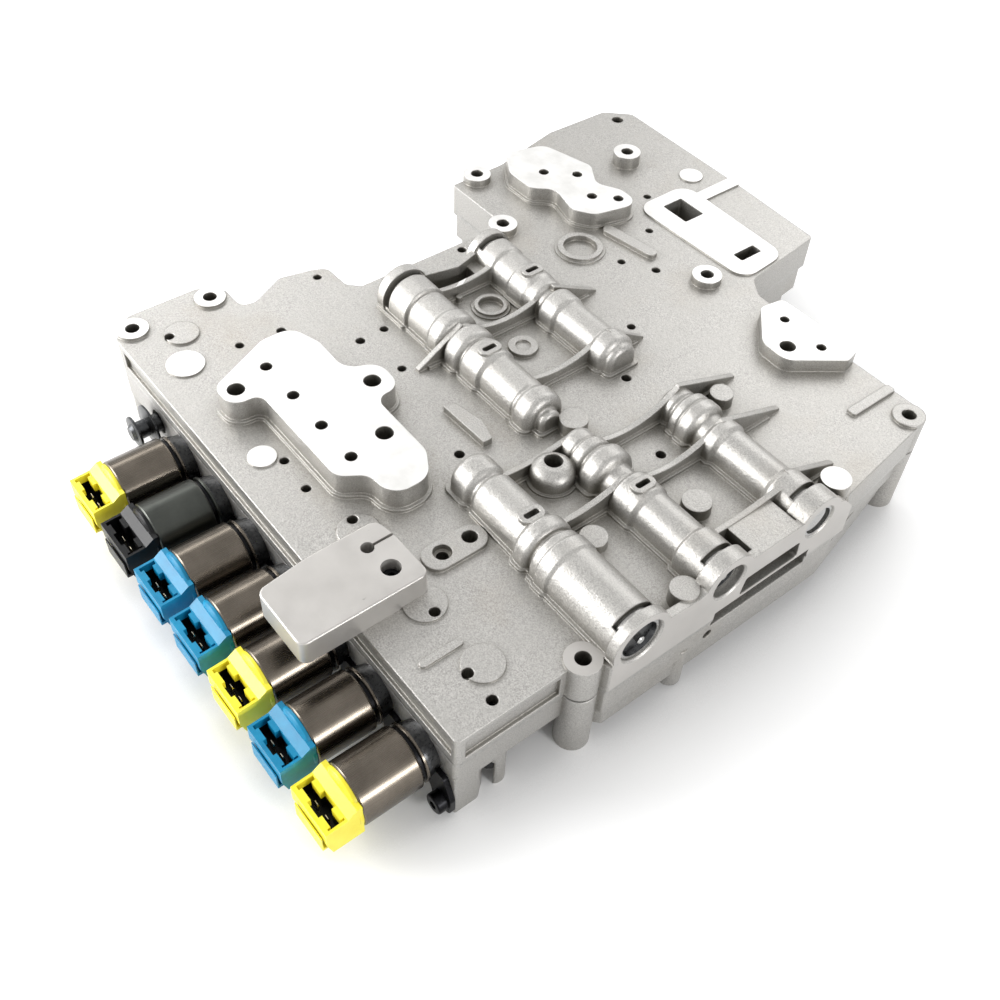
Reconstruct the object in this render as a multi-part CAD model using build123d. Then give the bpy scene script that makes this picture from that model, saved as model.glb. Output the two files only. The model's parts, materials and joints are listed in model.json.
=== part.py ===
from build123d import *
import os
from math import acos, hypot, sqrt, tan

# Transmission valve body: an upper and a lower aluminium casting with a steel separator plate
# between them, five spool valves, seven solenoids and a manual selector valve.
#
# Millimetres. The origin is the centre of the corner mounting hole at the mounting face, the
# flat lower face that the legs and bosses share. +X runs along the solenoid row to the front
# wall with the bore mouths, +Y runs away from the solenoids, +Z is up.

# Stack heights
STACK_HEIGHT = 52.0
COVER_THICKNESS = 16.0
SHEET_THICKNESS = 1.2
LOWER_FLOOR = 10.0
RIM_DEPTH = 14.0
BODY_DEPTH = 10.0
SHEET_TOP = STACK_HEIGHT - COVER_THICKNESS
LOWER_TOP = SHEET_TOP - SHEET_THICKNESS

# How far a cutter runs past the face it opens, and how deep a raised detail is rooted
PAST = 1.0

# Holes and bosses
BOLT_HOLE_R = 3.3
BOSS_R = 7.4
BOSS_RISE = 4.0
LOW_BOSS_RISE = 1.5
TALL_BOSS_RISE = 7.0
THREAD_HOLE_R = 2.3
CLEAR_HOLE_R = 2.8
BOLT_HEAD_R = 4.9
BOLT_HEAD_HEIGHT = 5.0
BOLT_WELL_R = 5.2
BOLT_SEAT = LOWER_FLOOR + 6.0
PLAIN_HOLE_R = 2.1
BLIND_DEPTH = 9.0
DOWEL_R = 3.0
DOWEL_DEPTH = 6.0
BALL_R = 3.2
BALL_POCKET_DEPTH = 8.0
BALL_PORT_R = 1.3

# Clearances: a sliding fit, a pressed or threaded fit and a piece on its seat
RUNNING_GAP = 0.05
PRESS_GAP = 0.03
SEAT_GAP = 0.3

# Valve bores
AXIS_RISE = 4.5
BORE_Z = STACK_HEIGHT + AXIS_RISE
FRONT_X = 9.0
REAR_X = -210.0
WALL_THICKNESS = 3.8
MOUTH_CHAMFER = 0.8
PLUG_RECESS = 3.0
PLUG_TAIL = 6.5
SLOT_WIDTH = 3.2
GROOVE_WIDTH = 2.6
GROOVE_DEPTH = 2.6
RETAINER_THICKNESS = 1.8
SPRING_LENGTH = 18.0
SPRING_TURNS = 4
WIRE_R = 0.6
WINDOW_LENGTH = 7.0
WINDOW_WIDTH = 2.8

# Ribs, feet and pads on the cover
RIB_THICKNESS = 2.6
WING_TOP = 15.5
WING_TIP = 1.2
FOOT_WIDTH = 1.6
FOOT_RISE = 1.5
LARGE_PAD_RISE = 12.0
FOUR_PAD_RISE = 9.0
THREE_PAD_RISE = 7.0
OVAL_RISE = 2.0
PLATFORM_RISE = 10.5

# Solenoids, counted from the back of the row
SOLENOID_COUNT = 7
SOLENOID_PITCH = 30.0
FIRST_SOLENOID_X = -19.8
SOLENOID_Z = 25.0
FLANGE_Y = -57.0
CAN_R = 13.0
CAN_START = 8.5
CAN_LENGTH = 25.5
COLLAR_R = CAN_R - 0.6
WAIST_R = CAN_R - 1.8
NOSE_R = 9.5
NOSE_LENGTH = 38.0
NECK_R = 10.5
RING_START = 8.0
RING_LENGTH = 2.4
RING_DEPTH = 1.4
CAP_HALF_WIDTH = 11.6
CAP_LENGTH = 15.0
SOCKET_Y = -9.9
SOCKET_LENGTH = 7.4
SOCKET_FLOOR = -4.6
BLADE_WIDTH = 3.0
BLADE_THICKNESS = 0.8
BLADE_HEIGHT = 5.0
ARMATURE_R = 4.0
ARMATURE_LENGTH = 12.0
ARMATURE_BACK = -22.0
ARMATURE_ROOM = 2.0
PIN_R = 1.2
SCREW_OFFSET = 14.6
SCREW_Z = 7.2
SCREW_R = 2.1
SCREW_HEAD_R = 4.4
SCREW_HEAD_HEIGHT = 4.4
SCREW_DEPTH = 14.0
HOLD_DOWN_THICKNESS = 2.2
ROW_END_X = FIRST_SOLENOID_X - SOLENOID_PITCH * (SOLENOID_COUNT - 1)

# Manual selector valve, beside the last solenoid
MANUAL_X = ROW_END_X - 27.2
MANUAL_Z = 25.0
MANUAL_R = 6.0
MANUAL_DEPTH = 70.0
MANUAL_STEM_R = 3.2

# Arm block on the cover
ARM_RISE = 12.0
ARM_SCREW = (-68.4, -36.4)
ARM_HOLE = (-81.4, -38.2)
ARM_SEAT_RISE = 4.0
ARM_THREAD_R = 1.7
ARM_HEAD_R = 3.5

# The castings' left edge beside the row
LEFT_EDGE = MANUAL_X - 43.0

BOTTOM = (Align.CENTER, Align.CENTER, Align.MIN)


def fitted(corners):
    """The corners, with each radius limited by the two walls that meet there."""
    count = len(corners)
    spans, reaches = [], []
    for index, (x, y, radius) in enumerate(corners):
        back_x, back_y, _ = corners[index - 1]
        next_x, next_y, _ = corners[(index + 1) % count]
        back, ahead = hypot(back_x - x, back_y - y), hypot(next_x - x, next_y - y)
        cosine = ((back_x - x) * (next_x - x) + (back_y - y) * (next_y - y)) / (back * ahead)
        spans.append(ahead)
        reaches.append(radius / tan(acos(max(-1.0, min(1.0, cosine))) / 2))
    shares = [min(1.0, 0.96 * spans[i] / max(reaches[i] + reaches[(i + 1) % count], 1e-6))
              for i in range(count)]
    return [(x, y, radius * min(shares[i - 1], shares[i])) for i, (x, y, radius) in enumerate(corners)]


def outline(corners):
    """A face with a corner radius at each (x, y, radius)."""
    fits = fitted(corners)
    points = [(x, y) for x, y, _ in fits]
    radii = [radius for _, _, radius in fits]
    return make_face(FilletPolyline(*points, radius=radii, close=True))


def slab(corners, low, high):
    return Pos(0, 0, low) * extrude(outline(corners), high - low)


def block(x_low, x_high, y_low, y_high, low, high, radius=0.0):
    """An upright block with rounded corners."""
    corners = [(x_low, y_low, radius), (x_low, y_high, radius), (x_high, y_high, radius),
               (x_high, y_low, radius)]
    return slab(corners, low, high)


def post(x, y, radius, low, high):
    return Pos(x, y, low) * Cylinder(radius, high - low, align=BOTTOM)


def turned_along_x(steps, y, z, angle=360):
    """A solid of revolution round a line along X, from (x, radius, corner radius) steps."""
    first, last = steps[0][0], steps[-1][0]
    face = outline([(first, 0, 0), *steps, (last, 0, 0)])
    return Pos(0, y, z) * revolve(face, Axis.X, angle)


def turned_along_y(steps, x, z):
    """The same round a line along Y, from (y, radius, corner radius) steps."""
    return Pos(x, 0, z) * Rot(0, 0, 90) * turned_along_x(steps, 0, 0)


def along_x(radius, low, high, y, z):
    return turned_along_x([(low, radius, 0), (high, radius, 0)], y, z)


def along_y(radius, low, high, x, z):
    return turned_along_y([(low, radius, 0), (high, radius, 0)], x, z)


def group(solids):
    return Compound(children=list(solids))


# The plan of the two castings, as (x, y, corner radius)
COVER_PLAN = [
    (0, FLANGE_Y, 2), (0, 3, 3), (9, 6, 1), (9, 136, 6), (4.5, 142, 8), (-4.5, 204, 2),
    (-8.5, 208.5, 3), (-109, 208.5, 8), (-119.5, 216, 6), (-126, 267, 2), (-182, 270, 3),
    (-269, 271.5, 4), (-280.5, 259, 4), (-281, 219, 6), (-271, 176, 6), (-270, 142.5, 1),
    (-231, 142.5, 6), (-226.5, 134, 4), (-226.5, 55, 3), (-232, 49.5, 5), (-248, 49, 5),
    (-251, 42, 8), (-254.5, 26, 4), (-245.5, 8, 5), (-246.5, 0.5, 5), (LEFT_EDGE + 8, 0.5, 5),
    (LEFT_EDGE, -10, 5), (LEFT_EDGE, -46, 5), (LEFT_EDGE + 12, FLANGE_Y, 5),
]
LOWER_PLAN = [
    (-0.5, FLANGE_Y, 2), (-0.5, 3, 3), (8.5, 6, 1), (8.5, 134, 6), (3.5, 142, 8), (-6.5, 203, 4),
    (-12, 207, 4), (-109, 207, 8), (-120.5, 216, 6), (-127, 265.5, 3), (-182, 268.5, 3),
    (-268, 270, 4), (-279, 258, 4), (-279.5, 219, 6), (-269.5, 176, 6), (-268.5, 143.5, 1),
    (-230, 143.5, 6), (-225, 134, 4), (-225, 55, 3), (-232, 48, 5), (-249, 47.5, 5),
    (-253, 26, 4), (-244, 8, 5), (-245, -1, 5), (LEFT_EDGE + 8, -1, 5), (LEFT_EDGE + 1.5, -10, 5),
    (LEFT_EDGE + 1.5, -46, 5), (LEFT_EDGE + 12, FLANGE_Y, 5),
]
BODY_PLAN = [
    (-12, -40, 4), (-12, -8, 4), (7.5, 8, 2), (7.5, 132, 6), (-9, 200, 4), (-108, 203, 8),
    (-122, 214, 6), (-130, 262, 4), (-266, 266, 4), (-276, 256, 4), (-276, 220, 6),
    (-264, 176, 6), (-264, 147, 2), (-222, 147, 4), (-222, -40, 4),
]

# Bosses of the mounting bolts as (x, y), which run through the whole stack
CORNER = (0.0, 0.0)
FAR_BOLT = (-269.6, 260.4)
TALL_BOSS = (-233.6, 234.0)
LOW_BOSSES = [(LEFT_EDGE + 10.5, -48.0), (LEFT_EDGE + 10.5, -8.4), (-10.6, 200.1)]
HIGH_BOSSES = [(-223.6, 139.4), (-267.0, 156.0), (-132.5, 195.5)]
MOUNT_BOSSES = [CORNER, *LOW_BOSSES, *HIGH_BOSSES, TALL_BOSS]

# Casting bolts that come up from below into threaded holes of the cover
CASTING_BOLTS = [
    (-220.5, 6.8), (-193.5, 32.4), (-109.0, 25.9), (-6.6, -36.5), (-221.9, 112.0), (-153.0, 181.0),
    (-58.7, 94.8), (-102.9, 115.2),
]
DOWELS = [(-154.1, 36.4), (-168.8, 252.8)]
BALLS = [(-190.0, 60.0), (-150.0, 100.0), (-100.0, 80.0), (-60.0, 130.0)]
PLAIN_HOLES = [
    (-222.5, -13.8), (-194.1, 46.0), (-166.9, 37.0), (-148.7, -35.0), (-149.7, 19.3), (-130.2, -35.9),
    (-244.7, 41.5), (-179.3, 201.0), (-168.1, 171.4), (-128.0, 141.3), (-202.5, 221.2),
]


class ValveBore:
    """One spool bore along X, with the sizes that its own pieces share. The mouth is where the
    end plug sits, and inwards is the direction from the mouth to the blind end."""

    def __init__(self, name, y, mouth, inwards, plug_r, spool_r, end, slot, flange_r, barrel):
        self.name = name
        self.y = y
        self.mouth = mouth
        self.inwards = inwards
        self.plug_r = plug_r
        self.spool_r = spool_r
        self.depth = abs(end - mouth)
        self.slot = slot
        self.flange_r = flange_r
        self.barrel = barrel
        self.plug_start = slot - PLUG_RECESS
        self.plug_end = slot + PLUG_TAIL
        self.groove = slot + (SLOT_WIDTH - GROOVE_WIDTH) / 2

    def at(self, depth):
        return self.mouth + self.inwards * depth

    def turned(self, steps):
        placed = [(self.at(depth), radius, corner) for depth, radius, corner in steps]
        return turned_along_x(placed, self.y, BORE_Z)


LEFT_Y, MIDDLE_Y, RIGHT_Y = 20.5, 66.0, 117.2

# The barrel steps are (x, radius, corner radius) from the rear to the front
BORES = [
    ValveBore("front_left", LEFT_Y, FRONT_X, -1, 10.0, 7.0, -88.0, 4.6, 14.0, [
        (-97, 10.4, 4.6), (-85, 10.4, 3), (-82.5, 8.2, 1.5), (-80, 10, 1.5), (-53, 10.3, 1),
        (-51.5, 12.5, 3), (-44.6, 12.5, 2.5), (-43.6, 10.2, 0.6), (-42.4, 10.2, 0.6),
        (-41.6, 12.2, 0.8), (-38.2, 12.4, 0.8), (-37.4, 13.3, 1), (-31.5, 13.3, 1.2),
        (-30, 12.6, 1), (FRONT_X, 12.6, 0)]),
    ValveBore("front_middle", MIDDLE_Y, FRONT_X, -1, 8.2, 6.5, -73.0, 7.2, 12.9, [
        (-84.5, 8.4, 3.6), (-77, 8.4, 1.5), (-76, 7.8, 0.6), (-74.8, 9.6, 2), (-70, 9.8, 2),
        (-68.5, 8.2, 0.8), (-66.8, 11.8, 3.4), (-58.5, 11.8, 3.4), (-56.5, 8, 1), (-50.5, 8, 1),
        (-48.5, 10.6, 1.5), (-37, 10.6, 1.5), (-35, 9.4, 1), (-13, 9.4, 1), (-11.5, 11.2, 1),
        (FRONT_X, 11.2, 0)]),
    ValveBore("front_right", RIGHT_Y, FRONT_X, -1, 7.6, 6.5, -69.0, 9.4, 12.4, [
        (-78, 8.6, 3), (-71, 8.8, 1.5), (-69.5, 8, 0.8), (-67.5, 10.8, 2), (-64, 11, 1),
        (-63.2, 10.2, 0.6), (-62.2, 11.3, 1), (-56.5, 11.3, 2.6), (-54.5, 8.2, 1),
        (-50.5, 8.2, 1), (-48.5, 10.4, 1.5), (-43.5, 10.6, 1.5), (-41.5, 9.2, 1), (-15, 9.2, 1),
        (-12.5, 10.8, 1), (FRONT_X, 10.8, 0)]),
    ValveBore("rear_left", MIDDLE_Y, REAR_X, 1, 8.8, 7.0, -106.0, 5.0, 13.0, [
        (REAR_X, 12, 0), (-189.3, 12, 0.8), (-188.4, 10.2, 0.4), (-187.5, 10.9, 0.6),
        (-173, 10.9, 0.8), (-171, 12, 2.4), (-164.5, 12, 3), (-162.6, 9.2, 1), (-160.6, 9.2, 1),
        (-158.5, 12, 3), (-151, 12, 3), (-149.2, 9.6, 0.8), (-147.5, 11.2, 1.5),
        (-136.5, 11.2, 1.5), (-134.5, 9.8, 1), (-114, 9.8, 1), (-112.5, 9.2, 1.5),
        (-110.5, 10.9, 3), (-101, 10.9, 3.8), (-101, 5.5, 1), (-97, 5.5, 2)]),
    ValveBore("rear_right", RIGHT_Y, REAR_X, 1, 8.2, 6.5, -117.0, 4.6, 12.2, [
        (REAR_X, 11, 0), (-193, 11, 1), (-191.5, 10, 0.8), (-180.5, 10, 0.8), (-179, 10.6, 1),
        (-169, 10.6, 1), (-167, 10, 1.4), (-162, 10, 2), (-160, 8, 0.8), (-158, 8, 0.8),
        (-156, 10.2, 2), (-147.5, 10.2, 2), (-145.5, 9, 1), (-122.5, 9, 1), (-120.5, 10.6, 2.4),
        (-113, 10.6, 2.8), (-111.5, 8.4, 1), (-108, 8.4, 3)]),
]

# Small windows in the crowns of the barrels, as (x, barrel y, barrel radius)
WINDOWS = [(-55.9, LEFT_Y, 10.3), (-41.9, MIDDLE_Y, 10.6), (-141.0, MIDDLE_Y, 11.2),
           (-174.0, RIGHT_Y, 10.6)]

# Ribs along Y between the barrels, as (x, low y, high y) and the rise at both ends and the middle
RIBS = [
    (-83.2, LEFT_Y, MIDDLE_Y, 10, 7.3, 10), (-50.4, LEFT_Y, MIDDLE_Y, 10, 7.5, 13.5),
    (-14.0, LEFT_Y, MIDDLE_Y, 11, 9, 11), (-74.9, MIDDLE_Y, RIGHT_Y, 12, 5.5, 15),
    (-48.8, MIDDLE_Y, RIGHT_Y, 13.5, 5.5, 15), (-9.2, MIDDLE_Y, RIGHT_Y, 12, 11, 14.5),
    (-193.8, MIDDLE_Y, RIGHT_Y, 12, 7, 13), (-161.6, MIDDLE_Y, RIGHT_Y, 14.5, 6, 13),
    (-121.5, MIDDLE_Y, RIGHT_Y, 12, 5.5, 14),
]
# Wings that run out from an outer barrel's crown to a point on the cover, as (x, barrel y, tip y)
WINGS = [
    (-75.4, RIGHT_Y, 155.0), (-48.8, RIGHT_Y, 156.0), (-12.2, RIGHT_Y, 150.0),
    (-158.8, RIGHT_Y, 145.0), (-119.8, RIGHT_Y, 140.0), (-161.6, MIDDLE_Y, 41.6),
]

# Upright pins as (x, y, radius, rise), discs, raised rounds with a hole off centre, and rings
PINS = [
    (-92.6, 74.6, 6.4, 6.5), (-27.8, 84.5, 6.4, 6), (-39.0, 39.0, 5.8, 5), (2.0, 48.0, 5.9, 8),
    (-66.9, 138.4, 5.4, 6), (-1.0, 137.2, 6.5, 9), (-190.2, 86.5, 1.5, 3),
]
DISCS = [(-225.0, -39.6, 8.7), (-155.7, -41.3, 6.2), (-203.1, 254.5, 6.4)]
RAISED_ROUNDS = [
    (-244.7, -31.0, 8.0, -245.2, -36.9), (-98.5, -31.4, 8.8, -104.6, -30.4),
    (-54.3, -31.2, 8.6, -48.9, -30.7), (-20.3, -30.0, 8.4, -20.2, -37.0),
]
CUP_RINGS = [(-188.0, 161.1, 11.5, 8.6), (-177.6, 95.9, 8.0, 6.0)]
WASHER_BOSS = (-145.9, 90.1)

ARM_PLAN = [
    (-57.8, -82, 4), (-57.8, -26, 4), (-82.4, -26, 1), (-91.4, -28, 4), (-91.4, -58, 12),
    (-88.5, -82, 4),
]


def mount_holes(low, high):
    return [post(x, y, BOLT_HOLE_R, low, high) for x, y in [*MOUNT_BOSSES, FAR_BOLT]]


def footed(face, rise, foot):
    """A raised pad with a low foot round it."""
    base = Pos(0, 0, STACK_HEIGHT)
    lip = offset(face, foot, kind=Kind.ARC)
    return base * extrude(face, rise) + base * extrude(lip, foot)


def large_pad():
    """The seven-hole pad on the left of the cover."""
    face = outline([
        (-207, 5, 9), (-191, 10, 7), (-170, 9.5, 9), (-165, 24, 9), (-147, 23, 9), (-147, 10, 7),
        (-110, 9.5, 11), (-97, 2, 10), (-97, -16, 9), (-112, -17, 8), (-119, -28, 7), (-177, -28, 5),
        (-178, -41.5, 7), (-192, -42, 7), (-207, -10, 9),
    ])
    top, depth = STACK_HEIGHT + LARGE_PAD_RISE, LARGE_PAD_RISE + 2
    large = [(-185.9, -34.7), (-156.9, 14.9), (-127.8, 1.3)]
    small = [(-190.9 + 22.1 * step, -17.1) for step in range(4)]
    holes = [post(x, y, 3.9, top - depth, top) for x, y in large]
    holes += [post(x, y, 2.7, top - depth, top) for x, y in small]
    return footed(face, LARGE_PAD_RISE, FOOT_WIDTH), holes


def small_pads():
    """The four-hole pad, the three-hole pad and the bridge pad with its two windows."""
    four = outline([
        (-268, 176, 7), (-252, 166, 9), (-234, 166, 7), (-226, 176, 8), (-207, 171, 9), (-197, 178, 8),
        (-191, 204, 7), (-206, 204, 7), (-218, 197, 7), (-232, 206, 7), (-262, 198, 8),
    ])
    three = outline([
        (-97, 195, 5), (-95, 208.3, 3), (-49, 208.3, 2), (-47, 200, 3), (-64, 176.5, 8), (-79, 177, 8),
    ])
    top, depth = STACK_HEIGHT, 4
    bridge = slab([(-198, 209, 9), (-198, 245, 9), (-124, 243, 9), (-121, 211, 9)], top, top + 1)
    strip = block(-189, -181.5, 240, 269.5, top, top + 1)
    pads = [footed(four, FOUR_PAD_RISE, 1.4), Pos(0, 0, top) * extrude(three, THREE_PAD_RISE), bridge, strip]
    holes = [post(x, y, 2.7, top - depth, top + FOUR_PAD_RISE + PAST)
             for x, y in [(-241.8, 181.2), (-230.0, 194.4), (-210.3, 187.6), (-200.8, 197.5)]]
    holes += [post(x, y, r, top - depth, top + THREE_PAD_RISE + PAST)
              for x, y, r in [(-84.1, 197.7, 2.3), (-70.2, 184.5, 3.8), (-60.5, 196.6, 2.4)]]
    holes += [block(x0, x1, y0, y1, top - 12, top + 2, 1)
              for x0, x1, y0, y1 in [(-190, -173, 221, 234), (-138.7, -132.5, 221, 235.3)]]
    return pads, holes


def oval_boss():
    """The low boss with a plain and a stepped hole beside the left barrel."""
    top, depth = STACK_HEIGHT + OVAL_RISE, 12
    body = block(-75.5, -62.5, -21, 8, STACK_HEIGHT, top, 6)
    holes = [post(-69.5, 1.3, 3.3, top - depth, top), post(-69.5, -12, 3.9, top - 3, top),
             post(-69.5, -12, 2.6, top - depth, top)]
    return body, holes


def silhouette(steps, margin):
    """The plan of a turned shape, widened by a margin."""
    side = [(x, radius + margin, corner) for x, radius, corner in steps]
    return outline([*side, *[(x, -radius, corner) for x, radius, corner in reversed(side)]])


def barrel(bore):
    """The cast outside of a bore: stepped crown, upright flanks and a foot along the cover."""
    crown = turned_along_x(bore.barrel, bore.y, BORE_Z, 180)
    base = Pos(0, bore.y, STACK_HEIGHT - PAST)
    flanks = base * extrude(silhouette(bore.barrel, 0), AXIS_RISE + PAST)
    steps = list(bore.barrel)
    blind = 0 if bore.inwards < 0 else -1
    x, radius, corner = steps[blind]
    steps[blind] = (x + bore.inwards * FOOT_WIDTH, radius, corner)
    foot = base * extrude(silhouette(steps, FOOT_WIDTH), FOOT_RISE + PAST)
    return crown + flanks + foot


def bore_flange(bore):
    """The ring round a bore's mouth, in front of the retainer slot."""
    return bore.turned([(0, bore.flange_r, 0), (bore.slot, bore.flange_r, 0)])


def bore_cavity(bore):
    """Mouth, plug seat and spool bore, with the drilled cone at the blind end."""
    return bore.turned([
        (0, bore.plug_r + MOUTH_CHAMFER, 0), (MOUTH_CHAMFER, bore.plug_r, 0),
        (bore.plug_end, bore.plug_r, 0), (bore.plug_end, bore.spool_r, 0),
        (bore.depth, bore.spool_r, 0), (bore.depth + 2.5, 1.0, 0)])


def retainer_slot(bore):
    """The slot behind the flange that the retainer drops into. At the rear left it opens the
    whole flank."""
    x_low, x_high = sorted((bore.at(bore.slot), bore.at(bore.slot + SLOT_WIDTH)))
    half = bore.plug_r - 2 * SEAT_GAP
    reach = bore.flange_r + PAST if bore.name == "rear_left" else half
    return block(x_low, x_high, bore.y - reach, bore.y + half, BORE_Z - 2, BORE_Z + 2 * bore.flange_r)


def window_pad(x, y, barrel_r):
    """The flat saddle round a crown window."""
    half_x, half_y = WINDOW_WIDTH / 2 + 2.2, WINDOW_LENGTH / 2 + 2
    return block(x - half_x, x + half_x, y - half_y, y + half_y, BORE_Z, BORE_Z + barrel_r + 0.5, 3)


def crown_window(x, y, barrel_r):
    half_x, half_y = WINDOW_WIDTH / 2, WINDOW_LENGTH / 2
    return block(x - half_x, x + half_x, y - half_y, y + half_y, BORE_Z, BORE_Z + 2 * barrel_r, 1.2)


def upright_rib(x, lines, y_low, y_high):
    """A thin wall under a top line, with a foot on both sides."""
    wall = extrude(Plane.YZ.offset(x - RIB_THICKNESS / 2) * make_face(lines), RIB_THICKNESS)
    half = RIB_THICKNESS / 2 + FOOT_WIDTH
    foot = block(x - half, x + half, y_low, y_high, STACK_HEIGHT - PAST, STACK_HEIGHT + FOOT_RISE)
    return wall + foot


def rib(x, y_low, y_high, low_rise, mid_rise, high_rise):
    """A thin cast rib whose top sags between the two barrels that it ties together."""
    base, root = STACK_HEIGHT, STACK_HEIGHT - PAST
    top = ThreePointArc((y_low, base + low_rise), ((y_low + y_high) / 2, base + mid_rise),
                        (y_high, base + high_rise))
    sides = Polyline((y_high, base + high_rise), (y_high, root), (y_low, root), (y_low, base + low_rise))
    return upright_rib(x, [top, sides], y_low, y_high)


def wing(x, y_barrel, y_tip):
    """The free end of a rib, running straight down from a barrel's crown to a point."""
    base, root = STACK_HEIGHT, STACK_HEIGHT - PAST
    lines = Polyline((y_barrel, base + WING_TOP), (y_tip, base + WING_TIP), (y_tip, root),
                     (y_barrel, root), close=True)
    foot_end = y_barrel + (y_tip - y_barrel) * 0.8
    return upright_rib(x, lines, min(y_barrel, foot_end), max(y_barrel, foot_end))


def front_wall():
    """The upright wall along the front edge that carries the three bore mouths."""
    low, base = SHEET_TOP, STACK_HEIGHT
    profile = [
        (7, low, 0), (7, base + 1, 2), (13, base + 8, 5), (34, base + 8, 8), (50, base + 6.5, 8),
        (60, base + 9.5, 6), (79, base + PLATFORM_RISE, 5), (104, base + PLATFORM_RISE, 5),
        (131, base + 8.5, 4), (139, base, 4), (139, low, 0),
    ]
    return extrude(Plane.YZ.offset(FRONT_X - WALL_THICKNESS) * outline(profile), WALL_THICKNESS)


def rear_wall():
    """The bent wall between the two rear mouths and the step beside the right one."""
    low, high = STACK_HEIGHT - PAST, STACK_HEIGHT + PLATFORM_RISE
    bend, thickness = REAR_X + 6, 3
    wall = slab([(REAR_X, MIDDLE_Y, 0), (bend, 94.5, 2), (REAR_X, RIGHT_Y, 0),
                 (REAR_X + thickness, RIGHT_Y, 0), (bend + thickness, 94.5, 2),
                 (REAR_X + thickness, MIDDLE_Y, 0)], low, high)
    step = block(REAR_X + thickness, -194, 100.5, RIGHT_Y, low, STACK_HEIGHT + 6.5, 3)
    return wall + step


def front_platform():
    """The flat block that backs the wall between the middle and right mouths."""
    return block(-8.5, FRONT_X - PAST, 80.2, 104.8, STACK_HEIGHT - PAST, STACK_HEIGHT + PLATFORM_RISE, 0.8)


def front_window():
    """The wide pocket under the cover between the middle and right bores."""
    low, high = SHEET_TOP + 5.2, STACK_HEIGHT - 1.2
    profile = [(74.8, low, 1.5), (76.6, high, 1.5), (107.6, high, 1.5), (108.6, low, 1.5)]
    return extrude(Plane.YZ.offset(FRONT_X - 26) * outline(profile), 26 + PAST)


def front_slot():
    """The long relief at the joint below the pocket, which passes through all three layers."""
    return block(-5, FRONT_X + PAST, 62, 116.5, LOWER_TOP - 4.2, SHEET_TOP + 3.8)


def dome_boss():
    """The domed boss with an offset hole between the left and middle barrels."""
    x, y, rise = -75.0, 48.0, 10.0
    body = outline([(0, 0, 0), (9.2, 0, 0), (10, rise, 5.5), (0, rise, 0)])
    dome = Pos(x, y, STACK_HEIGHT) * revolve(Plane.XZ * body, Axis.Z, 360)
    foot = post(x, y, 10.8, STACK_HEIGHT - PAST, STACK_HEIGHT + 1)
    return dome + foot, post(x - 1.1, y + 1, 4.0, STACK_HEIGHT - 6, STACK_HEIGHT + rise + PAST)


def bosses():
    """The bosses of the mounting bolts, the pins and the discs."""
    top, root = STACK_HEIGHT, STACK_HEIGHT - PAST
    solids = [post(x, y, BOSS_R, SHEET_TOP, top + LOW_BOSS_RISE) for x, y in [CORNER, *LOW_BOSSES]]
    solids += [post(x, y, BOSS_R, SHEET_TOP, top + BOSS_RISE) for x, y in HIGH_BOSSES]
    solids.append(post(*TALL_BOSS, BOSS_R, SHEET_TOP, top + TALL_BOSS_RISE))
    solids += [post(x, y, r, root, top + rise) for x, y, r, rise in PINS]
    solids += [post(x, y, r, root, top + 0.8) for x, y, r in DISCS]
    solids += [post(x, y, r, root, top + 1) for x, y, r, _, _ in RAISED_ROUNDS]
    return solids


def rings_and_bars():
    """Cup rings, the washer-like boss and the raised bars."""
    top, root = STACK_HEIGHT, STACK_HEIGHT - PAST
    solids = [post(x, y, r, root, top + 2.2) for x, y, r, _ in CUP_RINGS]
    solids += [post(x, y, r + 1.4, root, top + 0.9) for x, y, r, _ in CUP_RINGS]
    solids.append(post(*WASHER_BOSS, 7.0, root, top + 2))
    solids.append(slab([(-193, 179, 2.8), (-193, 185, 2.8), (-161, 190.5, 2.8), (-160, 184.5, 2.8)],
                       root, top + 2.5))
    solids.append(slab([(-134, 35.5, 0.5), (-132, 41, 1), (-117, 44, 1), (-106, 41, 1),
                        (-106, 36.5, 0.5)], root, top + 3.5))
    solids.append(block(-34.5, -31.2, -49, -30, root, top + 1.2, 1.5))
    solids.append(block(-29.5, -24.5, 180, 208, root, top + 1.5, 1.5))
    return solids


def surface_holes():
    top = STACK_HEIGHT
    holes = [post(hx, hy, 2.3, top - 6, top + 2) for _, _, _, hx, hy in RAISED_ROUNDS]
    holes += [post(x, y, r, top - 0.8, top + 3) for x, y, _, r in CUP_RINGS]
    holes += [post(x, y, PLAIN_HOLE_R, top - BLIND_DEPTH, top + PAST) for x, y in PLAIN_HOLES]
    holes.append(post(*WASHER_BOSS, 3.6, top + 1, top + 3))
    holes.append(post(*ARM_SCREW, ARM_THREAD_R, top - 10, top + PAST))
    return holes


def side_ledge():
    """The strip taken off the solenoid side, which leaves a rim above and a flange below."""
    return block(LEFT_EDGE + 18, -3, FLANGE_Y - PAST, FLANGE_Y + 1.6, SHEET_TOP + 4, STACK_HEIGHT - 3.5)


def front_panel():
    """The shallow panel sunk in the front side between the near corner and the corner boss."""
    return block(-1.6, PAST, -53, -10, SHEET_TOP + 2.5, STACK_HEIGHT - 3)


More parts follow.
